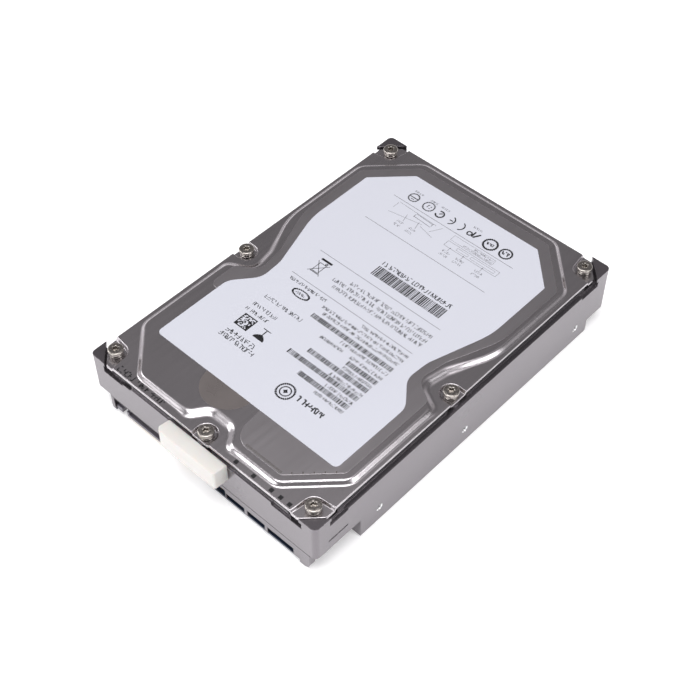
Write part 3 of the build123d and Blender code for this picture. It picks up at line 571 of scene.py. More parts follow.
def casting_finish(rgb):
    """Die-cast aluminium under a thin grey electro-coat: orange peel, pin specks and softened edges."""
    f = Finish("casting grey coat", 0.85, Coat_Weight=0.2, Coat_Roughness=0.12)
    f.soft_edges(0.3)
    peel = f.noise(700, 2.0)
    cloud = f.noise(45, 4.0)
    specks = f.spread(f.cells(900), 1.0, 0.0, 0.02, 0.11)
    base = f.mixed(cloud, shade(rgb, 0.9), shade(rgb, 1.1))
    f.paint(f.mixed(f.spread(specks, 0.0, 0.35), base, shade(rgb, 0.55)))
    f.polish(f.spread(cloud, 0.2, 0.28, 0.3, 0.7))
    f.bump(peel, 0.12, 0.012)
    f.bump(f.noise(3500, 3.0), 0.2, 0.006)
    return f.material


def label_finish(rgb):
    """Satin coated polyester label with a faint cloudy tone and fine fibres."""
    f = Finish("label coated film", 0.0, Coat_Weight=0.15, Coat_Roughness=0.3)
    cloud = f.noise(22, 3.0)
    fibre = f.noise(1800, 4.0, (1.0, 0.25, 1.0))
    tone = f.mixed(cloud, shade(rgb, 0.975), shade(rgb, 1.01))
    f.paint(f.mixed(f.spread(fibre, 0.0, 0.12), tone, shade(rgb, 0.93)))
    f.polish(f.spread(fibre, 0.42, 0.55, 0.3, 0.7))
    f.bump(f.noise(60, 2.0), 0.12, 0.05)
    f.bump(fibre, 0.10, 0.004)
    return f.material


def screw_finish():
    """Nickel plate over turned steel, with turning rings on the head."""
    f = Finish("screw nickel", 1.0)
    rings = f.noise(2200, 3.0, (1, 1, 0.2))
    tone = f.mixed(f.noise(380, 3.0), (0.36, 0.335, 0.31), (0.56, 0.53, 0.50))
    f.paint(f.mixed(f.spread(rings, 0.0, 0.5), tone, (0.29, 0.265, 0.24)))
    f.polish(f.spread(rings, 0.16, 0.30, 0.3, 0.7))
    f.bump(rings, 0.25, 0.006)
    return f.material


def block_finish(rgb):
    """Moulded white plastic with a soft sheen, faint flow lines and handling marks."""
    f = Finish("white moulded plastic", Subsurface_Weight=0.15, Subsurface_Scale=0.002, Sheen_Weight=0.08)
    cloud = f.noise(140, 4.0)
    flow = f.noise(350, 3.0, (0.15, 1, 1))
    marks = f.spread(f.noise(500, 5.0, (1, 1, 1), 0.7), 0.0, 1.0, 0.66, 0.82)
    tone = f.mixed(cloud, shade(rgb, 0.955), shade(rgb, 1.02))
    f.paint(f.mixed(f.spread(marks, 0.0, 0.3), tone, (0.55, 0.53, 0.48)))
    f.polish(f.spread(flow, 0.42, 0.6, 0.3, 0.7))
    f.bump(flow, 0.15, 0.05)
    f.bump(f.noise(2600, 3.0), 0.25, 0.01)
    return f.material


def board_finish(rgb):
    """Solder mask over copper: buried tracks show as a lighter tone, with a glossy skin."""
    f = Finish("board solder mask", 0.0, Coat_Weight=0.5, Coat_Roughness=0.1)
    tracks = f.spread(f.waves(260, (1, 0.35, 1), distortion=5.0), 0.0, 1.0, 0.45, 0.62)
    fill = f.spread(f.cells(70, stretch=(1, 1, 0.1)), 0.0, 1.0, 0.35, 0.5)
    tone = f.mixed(f.noise(120, 3.0), shade(rgb, 0.85), shade(rgb, 1.2))
    copper = f.mixed(f.spread(tracks, 0.0, 0.55), tone, shade(rgb, 2.3))
    f.paint(f.mixed(f.spread(fill, 0.0, 0.5), copper, shade(rgb, 1.7)))
    f.polish(f.spread(tracks, 0.28, 0.38))
    f.bump(tracks, 0.3, 0.02)
    f.bump(f.noise(1500, 2.0), 0.12, 0.006)
    return f.material


def disk_finish():
    """Sputtered, polished platter with barely seen circular texture."""
    f = Finish("disk polished", 1.0)
    rings = f.waves(900, kind="RINGS", direction="Z", distortion=0.4)
    f.paint(f.mixed(rings, (0.80, 0.80, 0.81), (0.84, 0.84, 0.86)))
    f.polish(f.spread(rings, 0.03, 0.06))
    f.bump(f.noise(3000, 1.0), 0.04, 0.001)
    return f.material


def woven_finish(name, rgb):
    """Non-woven or foam material with a mesh of fibres or cells."""
    f = Finish(name, 0.0, Sheen_Weight=0.3)
    cells = f.cells(900)
    threads = f.noise(1600, 5.0, (1, 0.4, 1))
    tone = f.mixed(threads, shade(rgb, 0.75), shade(rgb, 1.15))
    f.paint(f.mixed(f.spread(cells, 0.0, 0.6, 0.1, 0.7), tone, shade(rgb, 0.5)))
    f.polish(f.spread(threads, 0.8, 0.95))
    f.bump(cells, 0.6, 0.08)
    return f.material


def winding_finish(name, rgb):
    """Enamelled wire laid side by side, each turn painted lighter on its crown and darker in the grooves
    between turns: painted highlight and painted shade.
    """
    f = Finish(name, 1.0, Coat_Weight=0.4, Coat_Roughness=0.2)
    turns = f.waves(1200, direction="Z")
    # Painted shade in the grooves between turns and a painted highlight on each turn's crown, following the
    # bump.
    f.paint(f.mixed(turns, shade(rgb, 0.55), shade(rgb, 1.15)))
    f.polish(f.spread(turns, 0.25, 0.4))
    f.bump(turns, 0.6, 0.06)
    return f.material


def plain_finishes():
    """Finishes of the pieces that need no pattern of their own, by material slot."""
    return {
        "gasket": layered("gasket black rubber", (0.012, 0.012, 0.014), 0.0, 0.6, bump=0.03),
        "patch": layered("seal patch film", (0.235, 0.21, 0.205), 0.6, 0.3, grain=90, vary=0.03, bump=0.001),
        "connector": layered("connector grey plastic", (0.135, 0.125, 0.15), 0.0, 0.3, edge=0.12, bump=0.01),
        "gold": layered("contact gold", (0.86, 0.60, 0.20), 1.0, 0.2, grain=900, bump=0.002),
        "black_plastic": layered("header black plastic", (0.018, 0.018, 0.02), 0.0, 0.4, edge=0.1,
                                 bump=0.015),
        "chip": layered("chip moulding", (0.022, 0.022, 0.025), 0.0, 0.5, grain=900, edge=0.1, bump=0.012),
        "passive": layered("ceramic parts", (0.32, 0.22, 0.13), 0.0, 0.45, grain=800, edge=0.08),
        "aluminium": layered("machined aluminium", (0.80, 0.80, 0.81), 1.0, 0.24, stretch=(1, 1, 0.1),
                             edge=0.08),
        "steel": layered("ground steel", (0.60, 0.59, 0.58), 1.0, 0.26, stretch=(1, 0.08, 1), grain=700,
                         edge=0.06),
        "laminations": layered("stator sheets", (0.16, 0.16, 0.18), 1.0, 0.45, stretch=(0.1, 0.1, 6),
                               grain=900),
        "magnet": layered("magnet nickel plate", (0.66, 0.66, 0.65), 1.0, 0.16, vary=0.05, edge=0.1),
        "yoke": layered("yoke nickel plate", (0.63, 0.62, 0.60), 1.0, 0.2, vary=0.06, edge=0.12),
        "rubber": layered("stop rubber", (0.02, 0.02, 0.02), 0.0, 0.75),
        "flex": layered("ribbon film", (0.50, 0.20, 0.03), 0.0, 0.25, stretch=(1, 1, 8), grain=900),
        "ceramic": layered("slider ceramic", (0.05, 0.05, 0.055), 0.0, 0.2, bump=0.002),
        "overmold": layered("coil frame plastic", (0.48, 0.40, 0.24), 0.0, 0.5, grain=600, edge=0.1),
    }


FINISHES = {}


def finishes(scene):
    """Every material, by slot. Made once and shared by all operators."""
    if not FINISHES:
        body, label = scene.drive_body, scene.drive_label
        board, steel = tuple(body.board), tuple(scene.drive_cover.colour)
        FINISHES.update({slot: f.material for slot, f in plain_finishes().items()})
        FINISHES.update({
            "casting": casting_finish(tuple(body.casting)),
            "cover": cover_finish(steel),
            "damper": bonded_plate_finish(shade(steel, 0.97)),
            "screw": screw_finish(),
            "white_plastic": block_finish(tuple(body.block)),
            "label": label_finish(tuple(label.paper)),
            "ink": layered("label ink", tuple(label.ink), 0.0, 0.45, grain=900, vary=0.3,
                           bump=0.003).material,
            "board": board_finish(board),
            "track": layered("board track mask", shade(board, 2.4), 0.0, 0.3, grain=900,
                             Coat_Weight=0.4).material,
            "tin": layered("board pad tin", (0.72, 0.70, 0.66), 1.0, 0.3, grain=1200, bump=0.01).material,
            "disk": disk_finish(),
            "foam": woven_finish("board foam", (0.05, 0.05, 0.055)),
            "filter": woven_finish("filter fibre", (0.75, 0.75, 0.73)),
            "copper": winding_finish("copper wire", (0.75, 0.34, 0.16)),
        })
    return FINISHES


class DRIVE_OT_finishes(bpy.types.Operator):
    """Give every CAD piece the finish of its material slot"""
    bl_idname = "drive.finishes"
    bl_label = "Finishes"

    def execute(self, context):
        looks = finishes(context.scene)
        slots = {part["node"]: part["material_slot"] for part in frame["record"]["subparts"]}
        for node, obj in frame["nodes"].items():
            look = looks[slots[node]]
            if not obj.material_slots:
                obj.data.materials.append(look)
            for slot in obj.material_slots:
                slot.material = look
        return {"FINISHED"}


# ---------------------------------------------------------------- cover

# Where the loops of points lie: across the step from flange to middle, across a pad's slope as shares
# of its width, and across the rounding of the outer edge.
STEP_LOOPS = (-0.05, 0, 0.08, 0.16, 0.24, 0.32, 0.4, 0.48, 0.56, 0.64, 0.72, 0.8, 0.88, 0.95, 1.0, 1.06)
PAD_LOOPS = (-0.62, -0.5, -0.36, -0.2, -0.07, 0.07, 0.2, 0.36, 0.5, 0.6)
EDGE_LOOPS = (0.0, 0.12, 0.35, 0.65, 1.0, 1.3)
PAD_ARC_STEPS = 22
PAD_TAILS = (1.5, 3, 6, 12)  # how far the straight sides of a pad run on, by steps
EDGE_ZONE = 3.0  # the outer edge is looked for only this near the cover's box


def plateau_corners():
    """The raised middle: cut corners, and a bay round each screw on the middle of an edge."""
    side, start, end = COVER_HALF - 2.4, COVER_START + 3.5, COVER_END - 2.4
    near, far = 16.0, 17.0
    front, mid = SCREWS[1], SCREWS[4]
    corners = [
        (front.x + 4.6, front.y + 6.9, 4.4), (front.x + 9.2, start, 3.4),
        (side - near, start, 5.0), (side, start + near, 6.0),
        (side, mid.y - 8.9, 3.0), (mid.x - 8.4, mid.y - 4.4, 5.0), (mid.x - 6.6, mid.y + 5.4, 9.0),
        (side + 0.2, mid.y + 21.5, 26.0), (side + 0.2, end - far, 6.0), (side + 0.2 - far, end, 6.0),
    ]
    left = [(-x, y, r) for x, y, r in reversed(corners)]
    left[-1] = (front.x - 5.0, front.y + 6.9, 4.4)
    left[-2] = (front.x - 9.4, start, 3.4)
    return corners + left


def flange_corners():
    """The cover's outer edge, with its corners cut off."""
    side, cut, radius = COVER_HALF, 6.0, 1.6
    return both_sides([(side - cut, COVER_START, radius), (side, COVER_START + cut, radius),
                       (side, COVER_END - cut, radius), (side - cut, COVER_END, radius)])


def pad_frames():
    """Each screw pad: its centre and the outward directions of its two straight sides, in degrees."""
    tilt = 7.0
    left_front, front, right_front, left_mid, right_mid, left_back, right_back = SCREWS
    return [
        (right_front, 180 - tilt, 90 + tilt), (left_front, 90 - tilt, tilt),
        (right_back, 270 - tilt, 180 + tilt), (left_back, 360 - tilt, 270 + tilt),
        (right_mid, 270, 90), (left_mid, 90, -90), (front, 180, 0),
    ]


def pad_distance(x, y, radius):
    """Distance outside the nearest screw pad; negative inside."""
    best = 1e9
    for middle, first, last in pad_frames():
        dx, dy = x - middle.x, y - middle.y
        heading = math.degrees(math.atan2(dy, dx))
        if (heading - last) % 360 <= first - last:
            distance = math.hypot(dx, dy)
        else:
            sides = (math.radians(first), math.radians(last))
            distance = max(dx * math.cos(a) + dy * math.sin(a) for a in sides)
        best = min(best, distance - radius)
    return best


def ease(t):
    """Rises smoothly from 0 to 1, level at both ends."""
    t = min(1.0, max(0.0, t))
    return t * t * t * (t * (6 * t - 15) + 10)


def cover_rings(settings):
    """Closed loops of points along the step, each with its share of the rise."""
    width, extra = settings.step_width / MM, settings.notch_extra / MM
    path = rounded_path(plateau_corners(), 1.4)
    wide = []
    for p, n in path:
        near = min((p - SCREWS[i]).length for i in (1, 3, 4))
        wide.append(width + extra * ease((15.0 - near) / 7.0))
    loops = []
    for u in STEP_LOOPS:
        loops.append(([p + n * (w * (u - 0.5)) for (p, n), w in zip(path, wide)], ease(u)))
    return loops


def pad_lines(settings):
    """Open lines of points round each pad: an arc between two straight sides."""
    radius, slope = settings.pad_radius / MM, settings.pad_slope / MM
    lines = []
    for middle, first, last in pad_frames():
        span = first - last
        angles = [math.radians(last + span * k / PAD_ARC_STEPS) for k in range(PAD_ARC_STEPS + 1)]
        for u in PAD_LOOPS:
            r = radius + slope * u
            arc = [middle + Vector((math.cos(a), math.sin(a))) * r for a in angles]
            out_last = Vector((math.sin(angles[0]), -math.cos(angles[0])))
            out_first = Vector((-math.sin(angles[-1]), math.cos(angles[-1])))
            lines.append([arc[0] + out_last * k for k in reversed(PAD_TAILS)] + arc +
                         [arc[-1] + out_first * k for k in PAD_TAILS])
    return lines


def cover_mesh(settings, material):
    """The pressed sheet: a triangulated plan whose heights follow the step, the pads and the edge."""
    points, edges, rise = [], [], []

    def add(loop, closed, height):
        start = len(points)
        points.extend(Vector(p) for p in loop)
        rise.extend([height] * len(loop))
        count = len(loop)
        edges.extend((start + i, start + (i + 1) % count) for i in range(count if closed else count - 1))

    outline = rounded_path(flange_corners(), 1.5)
    roundness = settings.edge_round / MM
    for share in EDGE_LOOPS:
        add(inset(outline, share * roundness), True, 0.0)
    for loop, height in cover_rings(settings):
        add(loop, True, height)
    for line in pad_lines(settings):
        add(line, False, 0.0)
    flat, _, faces, origins, _, _ = delaunay_2d_cdt(points, edges, [], 0, 1e-5)
    border = inset(outline, 0.0)

    def depth_inside(p):
        """How far a point is inside the outer edge, which is convex."""
        best = 1e9
        for a, b in zip(border, border[1:] + border[:1]):
            edge = b - a
            if edge.length > 1e-9:
                best = min(best, edge.normalized().cross(p - a))
        return best

    slope, deep = settings.pad_slope / MM, settings.pad_depth / MM
    step, radius, sheet = settings.step_height / MM, settings.pad_radius / MM, settings.sheet / MM
    flange = PLATEAU_TOP - step
    top, under, kept = [], [], []
    for p, source in zip(flat, origins):
        lift = max((rise[i] for i in source), default=0.0)
        away = pad_distance(p.x, p.y, radius)
        sink = deep * ease(0.5 - away / slope) if away < slope else 0.0
        fall = 0.0
        inside = 9.0
        if not well_inside(p):
            inside = depth_inside(p)
            if inside < roundness:
                share = max(0.0, inside) / roundness
                fall = roundness * (1 - math.sqrt(max(0.0, 1 - (1 - share) ** 2)))
        z = flange + step * lift - sink
        top.append((p.x, p.y, z - fall))
        under.append((p.x, p.y, z - sheet))
        kept.append(inside > -1e-3)
    tris = [f for f in faces if all(kept[i] for i in f) and inside_plan(f, flat, depth_inside)]
    count = len(flat)
    verts = top + under
    shell = [tuple(f) for f in tris] + [tuple(count + i for i in reversed(f)) for f in tris]
    rim = {}
    for f in tris:
        for a, b in zip(f, f[1:] + f[:1]):
            if (b, a) in rim:
                del rim[(b, a)]
            else:
                rim[(a, b)] = True
    shell += [(b, a, count + a, count + b) for a, b in rim]
    return trimmed_piece("cover_sheet", verts, shell, material)


def well_inside(p):
    return abs(p.x) <= COVER_HALF - EDGE_ZONE and COVER_START + EDGE_ZONE < p.y < COVER_END - EDGE_ZONE


def inside_plan(face, flat, depth_inside):
    middle = sum((flat[i] for i in face), Vector((0, 0))) / len(face)
    return well_inside(middle) or depth_inside(middle) > 0


def trimmed_piece(name, verts, faces, material):
    """new_piece without the points that no face uses."""
    used = sorted({i for f in faces for i in f})
    number = {old: new for new, old in enumerate(used)}
    numbered = [tuple(number[i] for i in f) for f in faces]
    return new_piece(name, [verts[i] for i in used], numbered, material, 60.0)


class DRIVE_OT_cover(bpy.types.Operator):
    """Make the pressed cover with its raised middle and sunk screw pads"""
    bl_idname = "drive.cover"
    bl_label = "Cover"

    def execute(self, context):
        looks = finishes(context.scene)
        obj = cover_mesh(context.scene.drive_cover, looks["cover"])
        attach(obj, "chassis")
        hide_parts("top_cover")
        return {"FINISHED"}


# ---------------------------------------------------------------- damping plate and its weld ticks

PLATE_SIDE = COVER_HALF - 5.6
PLATE_START = COVER_START + 6.6
PLATE_TOP = PLATEAU_TOP + 0.07
PLATE_THICKNESS = 0.12


def damping_corners():
    """The thin plate bonded on the middle. It leaves the corner beside the round patch bare."""
    side, start, end = PLATE_SIDE, PLATE_START, COVER_END - 5.4
    near, far = 14.0, 16.0
    mid = SCREWS[4]
    right = [(9.0, start, 7.0), (side - near, start, 2.0), (side, start + near, 2.0),
             (side, mid.y - 8.0, 3.0), (mid.x - 10.6, mid.y - 3.6, 5.0), (mid.x - 9.0, mid.y + 7.4, 9.0),
             (side + 1.2, mid.y + 27.0, 26.0), (side + 1.2, end - far, 3.0), (side + 1.2 - far, end, 3.0)]
    left = [(-x, y, r) for x, y, r in reversed(right[3:])]
    return right + left + [(-side, start + 40, 3.0), (5.0, start + 40, 4.0), (7.0, start + 20, 8.0)]


def tick_line(first, last, count, along, across):
    """Short strokes set square to a line."""
    a, b = Vector(first), Vector(last)
    direction = (b - a).normalized()
    turn = math.atan2(direction.y, direction.x)
    marks = []
    for i in range(count):
        p = a.lerp(b, (i + 0.5) / count)
        marks.append((p.x, p.y, along, across, turn))
    return marks


class DRIVE_OT_damping_plate(bpy.types.Operator):
    """Make the bonded plate on the cover, with the row of fine ticks along its edge"""
    bl_idname = "drive.damping_plate"
    bl_label = "Damping plate"

    def execute(self, context):
        looks = finishes(context.scene)
        path = rounded_path(damping_corners(), 3.0)
        low = PLATE_TOP - PLATE_THICKNESS
        obj = plate("cover_bonded_plate", path, low, PLATE_TOP, 0.05, looks["damper"])
        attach(obj, "chassis")
        side, start = PLATE_SIDE, PLATE_START
        marks = tick_line((14.0, start + 0.9), (side - 14.4, start + 0.9), 44, 0.16, 0.75)
        marks += tick_line((side - 13.2, start + 1.6), (side - 1.2, start + 13.4), 5, 0.3, 0.8)
        ticks = print_marks("cover_weld_ticks", marks, PLATE_TOP - 0.01, 0.03, looks["screw"])
        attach(ticks, "chassis")
        return {"FINISHED"}


# ---------------------------------------------------------------- label

LABEL = [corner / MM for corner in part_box("product_label")]
LABEL_TOP = PLATEAU_TOP + 0.14


def label_corners():
    """The label narrows beside the middle screws and has its far corners cut off."""
    side, start, end, cut = LABEL[1].x, LABEL[0].y - END_Y, LABEL[1].y - END_Y, 13.0
    mid = SCREWS[4]
    half = [
        (side, start, 1.8), (side, mid.y - 15.0, 7.0), (mid.x - 13.6, mid.y - 5.8, 7.5),
        (mid.x - 13.0, mid.y + 3.6, 11.0), (side + 0.4, mid.y + 27.0, 32.0),
        (side + 0.4, end - cut, 0.8), (side + 0.4 - cut, end, 0.8),
    ]
    return both_sides(half)


class Sheet:
    """Printed marks on the label, in millimetres. u runs to the reader's right and v down."""

    def __init__(self, seed):
        self.marks = []
        self.random = random.Random(seed)

    def bar(self, u, v, width, height, turn=0.0):
        self.marks.append((LABEL[1].x - u, LABEL[0].y - END_Y + v, width, height, turn))

    def stroke(self, u0, v0, u1, v1, width):
        size = math.hypot(u1 - u0, v1 - v0)
        self.bar((u0 + u1) / 2, (v0 + v1) / 2, size, width, math.atan2(v1 - v0, u1 - u0))

    def rule(self, u0, u1, v, width=0.14):
        self.bar((u0 + u1) / 2, v, u1 - u0, width)

    def ring(self, u, v, radius, width, start=0.0, end=360.0, steps=20):
        span = math.radians(end - start)
        for k in range(steps):
            a = math.radians(start) + span * (k + 0.5) / steps
            size = radius * span / steps * 1.12
            self.bar(u + radius * math.cos(a), v + radius * math.sin(a), size, width, a + math.pi / 2)

    def words(self, u0, u1, v, height, weight=0.2):
        """A line of made-up characters, in words, that says nothing."""
        u = u0
        while u < u1:
            for _ in range(self.random.randint(2, 9)):
                if u >= u1:
                    break
                self.character(u, v, height, weight)
                u += height * 0.62
            u += height * 0.42

    def character(self, u, v, height, weight):
        w = height * 0.42
        top, middle, low = v - height / 2, v, v + height / 2
        strokes = [
            (u, top, u, low), (u + w, top, u + w, low), (u, top, u + w, top), (u, middle, u + w, middle),
            (u, low, u + w, low), (u, low, u + w, top), (u, middle, u, low), (u + w, top, u + w, middle),
        ]
        for stroke in self.random.sample(strokes, self.random.randint(2, 3)):
            self.stroke(*stroke, weight)

    def code(self, u0, u1, v, height):
        """A row of upright bars of a few widths."""
        u = u0
        while u < u1:
            width = self.random.choice((0.2, 0.22, 0.4, 0.55))
            self.bar(u + width / 2, v, width, height)
            u += width + self.random.choice((0.16, 0.18, 0.26, 0.36))

    def matrix(self, u0, v0, size, cells):
        cell = size / cells
        for row in range(cells):
            for column in range(cells):
                frame_cell = row in (0, cells - 1) or column in (0, cells - 1)
                if frame_cell or self.random.random() < 0.5:
                    self.bar(u0 + (column + 0.5) * cell, v0 + (row + 0.5) * cell, cell * 1.02, cell * 1.02)

    def outline(self, u0, v0, u1, v1, width, lean=0.0):
        self.stroke(u0, v0, u1, v0 + lean, width)
        self.stroke(u1, v0 + lean, u1, v1 + lean, width)
        self.stroke(u0, v1, u1, v1 + lean, width)
        self.stroke(u0, v0, u0, v1, width)


def print_heading(s):
    """A plain disk sign with a bold line beside it, and the capacity lines."""
    s.words(16.8, 27.6, 11.5, 2.1, 0.5)
    for radius, width in ((3.1, 0.55), (1.9, 0.4)):
        s.ring(32.2, 10.8, radius, width, steps=28)
    s.ring(32.2, 10.8, 0.45, 0.9, steps=10)
    s.words(50.6, 66.0, 14.2, 1.7, 0.28)
    s.words(52.4, 64.6, 16.8, 1.7, 0.28)


def print_codes(s):
    """Bar codes with a short line above each, and a taller one with its line below."""
    rows = ((16.9, 12.2, 19.3, 21.4), (21.4, 11.4, 23.8, 30.2), (25.8, 14.2, 28.3, 25.8),
            (30.4, 12.0, 32.7, 12.7), (37.7, 20.2, 40.1, 35.2))
    for text_v, text_width, code_v, code_width in rows:
        s.words(13.2, 13.2 + text_width, text_v, 1.15)
        s.code(13.2, 13.2 + code_width, code_v, 2.0)
    s.words(13.2, 27.0, 35.1, 1.15)
    s.words(30.0, 40.4, 35.1, 1.15)
    s.code(17.0, 47.2, 69.7, 4.9)
    s.words(17.2, 47.2, 74.0, 1.75, 0.3)


def print_signs(s):
    """The bowl, the square code, the ratings, the oval and the bin."""
    for k in range(9):
        s.bar(54.4, 20.2 + 0.28 * k, 4.6 - 0.07 * k * k, 0.3)
    s.bar(54.4, 23.6, 0.4, 2.4)
    s.bar(54.4, 24.9, 3.4, 0.3)
    s.matrix(59.6, 19.9, 5.8, 13)
    s.words(57.2, 67.4, 27.6, 1.4, 0.22)
    s.words(56.2, 66.2, 30.6, 1.4, 0.22)
    s.words(49.6, 66.0, 35.7, 1.5, 0.2)
    wide, high, steps = 3.5, 1.6, 26
    for k in range(steps):
        c, r = math.cos(2 * math.pi * k / steps), math.sin(2 * math.pi * k / steps)
        s.bar(57.9 + wide * c, 44.1 + high * r, 0.75, 0.5, math.atan2(high * c, -wide * r))
    s.words(56.2, 59.6, 44.1, 0.9, 0.2)
    s.words(49.6, 66.0, 47.6, 1.2)
    s.stroke(59.4, 54.0, 64.6, 60.0, 0.22)
    s.stroke(64.6, 54.0, 59.4, 60.0, 0.22)
    s.outline(60.6, 55.0, 63.4, 59.4, 0.24)
    s.bar(62.0, 54.6, 3.6, 0.3)
    s.ring(61.0, 60.0, 0.4, 0.3, steps=8)
    s.bar(61.9, 61.2, 4.8, 0.9)


def print_paragraphs(s):
    """Lines of made-up small print and the thin rules between them."""
    for v, right in ((43.0, 46.2), (45.2, 48.8), (47.6, 33.0)):
        s.words(13.2, right, v, 1.15)
    for v, right in ((54.2, 52.8), (56.8, 54.2), (59.4, 48.4)):
        s.words(13.2, right, v, 1.45, 0.2)
    for v in (49.8, 63.8, 86.8, 102.1):
        s.rule(13.2, 67.6, v)


def print_drawings(s):
    """Two faint line drawings of the connector end."""
    for u in (20.8, 29.2, 35.2):
        s.words(u - 1.8, u + 1.4, 90.8, 0.95, 0.1)
        s.words(u - 1.8, u + 1.4, 92.6, 0.95, 0.1)
        s.bar(u, 94.2, 0.12, 1.4)
        s.bar(u, 95.0, 0.5, 0.3)
    s.outline(15.2, 94.9, 38.0, 97.6, 0.1)
    s.outline(16.6, 95.7, 27.0, 96.8, 0.08)
    s.outline(28.2, 95.7, 33.2, 96.8, 0.08)
    s.outline(19.6, 98.4, 38.0, 101.0, 0.08)
    s.words(20.0, 32.6, 99.1, 0.8, 0.09)
    s.words(20.0, 28.4, 100.2, 0.8, 0.09)
    for u in (51.6, 57.2):
        s.words(u - 1.8, u + 1.0, 91.2, 0.95, 0.1)
        s.words(u - 1.8, u + 1.0, 93.0, 0.95, 0.1)
        s.stroke(u, 94.0, u - 1.0, 97.6, 0.12)
    s.stroke(43.4, 96.2, 50.0, 94.6, 0.1)
    s.stroke(50.0, 94.6, 63.6, 97.2, 0.1)
    s.stroke(43.4, 96.2, 46.0, 100.8, 0.1)
    s.stroke(46.0, 100.8, 63.6, 100.2, 0.1)
    s.stroke(63.6, 97.2, 63.6, 100.2, 0.1)
    s.outline(47.2, 98.6, 55.0, 100.2, 0.16, -0.4)


def print_approvals(s):
    """A row of plain round and angular signs above a thin line of characters."""
    v = 105.9
    for u, radius, width in ((19.3, 2.3, 0.6), (26.1, 2.6, 0.7), (54.3, 2.2, 0.4), (61.3, 2.0, 0.4)):
        s.ring(u, v, radius, width, steps=24)
    s.words(18.2, 20.2, v, 1.6, 0.4)
    s.words(24.9, 27.2, v, 1.2, 0.3)
    s.stroke(31.4, v - 1.4, 33.0, v + 1.4, 0.7)
    s.stroke(33.6, v - 1.4, 33.6, v + 1.4, 0.6)
    s.ring(35.0, v - 0.6, 0.9, 0.5, steps=12)
    for u in (39.2, 43.6):
        s.ring(u + 1.0, v, 2.1, 0.5, 110, 250, steps=14)
    s.bar(43.8, v, 1.4, 0.45)
    s.ring(48.9, v - 0.3, 1.6, 0.6, 60, 340, steps=16)
    s.stroke(48.2, v - 0.4, 49.2, v + 0.6, 0.45)
    s.words(53.4, 55.0, v, 1.3, 0.3)
    s.bar(61.3, v, 3.4, 0.4)
    s.bar(61.3, v - 0.9, 1.4, 0.3)
    for u in (34.0, 48.9, 54.3, 61.3):
        s.words(u - 1.8, u + 1.6, v + 3.1, 0.8, 0.09)


LABEL_PRINT = (print_heading, print_codes, print_signs, print_paragraphs, print_drawings, print_approvals)


class DRIVE_OT_label(bpy.types.Operator):
    """Make the label and its made-up print"""
    bl_idname = "drive.label"
    bl_label = "Label"

    def execute(self, context):
        looks = finishes(context.scene)
        settings = context.scene.drive_label
        path = rounded_path(label_corners(), 3.0)
        obj = plate("label_film", path, LABEL_TOP - settings.thickness / MM, LABEL_TOP, 0.03, looks["label"])
        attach(obj, "chassis")
        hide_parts("product_label")
        sheet = Sheet(settings.seed)
        for draw in LABEL_PRINT:
            draw(sheet)
        height = settings.ink_height / MM
        ink = print_marks("label_print", sheet.marks, LABEL_TOP - 0.004, height, looks["ink"])
        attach(ink, "chassis")
        return {"FINISHED"}


class DRIVE_OT_cover_marks(bpy.types.Operator):
    """Lay five dark ink squares as painted shade of small holes in the flange, and print the row of made-up
    characters along the cover's connector edge
    """
    bl_idname = "drive.cover_marks"
    bl_label = "Cover marks"

    def execute(self, context):
        looks = finishes(context.scene)
        flange = PLATEAU_TOP - context.scene.drive_cover.step_height / MM
        # The five squares are dark ink set where the flange has small holes: painted shade of the holes, not
        # print.
        marks = [(x, 1.75, 1.45, 1.45, 0.0) for x in (15.8, 23.4, 31.0, 34.9, 38.6)]
        sheet = Sheet(context.scene.drive_label.seed + 1)
        shift = LABEL[0].y - END_Y
        sheet.words(LABEL[1].x + 17.5, LABEL[1].x + 38.6, 2.1 - shift, 2.0, 0.42)
        marks += sheet.marks
        obj = print_marks("cover_edge_marks", marks, flange - 0.004, 0.012, looks["ink"])
        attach(obj, "chassis")
        return {"FINISHED"}


# ---------------------------------------------------------------- screws

def screw_rings(s, top, bottom):
    """Profile of a cover screw from the bottom of its recess, over the head, to the tip of the shank."""
    head, collar, neck = s.head_radius / MM, s.collar_radius / MM, s.neck_radius / MM
    shank, recess = s.shank_radius / MM, s.recess_radius / MM
    base, lobe = top - 2.65, 0.17
    rings = [(recess * 0.5, top - 1.35), (recess - 0.08, top - 1.3, lobe), (recess, top - 1.2, lobe),
             (recess, top - 0.12, lobe), (recess + 0.1, top - 0.03, lobe), (recess + 0.32, top, 0.0),
             (head - 0.42, top), (head - 0.2, top - 0.06), (head - 0.06, top - 0.2), (head, top - 0.4),
             (head, top - 0.78), (head - 0.08, top - 0.92), (head - 0.3, top - 0.98), (neck, top - 1.02)]
    for high in (top - 1.2, top - 1.92):
        rings += [(neck, high), (collar - 0.08, high - 0.04), (collar, high - 0.14), (collar, high - 0.42),
                  (collar - 0.08, high - 0.52), (neck, high - 0.56)]
    rings += [(neck, base + 0.02), (shank, base), (shank, bottom + 0.4), (shank - 0.4, bottom)]
    return rings


class DRIVE_OT_screws(bpy.types.Operator):
    """Make the seven collared cover screws"""
    bl_idname = "drive.screws"
    bl_label = "Cover screws"

    def execute(self, context):
        looks = finishes(context.scene)
        s = context.scene.drive_screws
        verts, faces = lathe(screw_rings(s, 0.0, SCREW_BOTTOM - SCREW_TOP), s.sides)
        spin = random.Random(3)
        places = [(p.x, p.y, SCREW_TOP, (0, 0, spin.uniform(0, 1))) for p in SCREWS]
        obj = copies("cover_screws", verts, faces, places, looks["screw"], 35.0)
        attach(obj, "chassis")
        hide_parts(*[f"cover_screw_{number}" for number in range(1, 8)])
        return {"FINISHED"}


# ---------------------------------------------------------------- white block

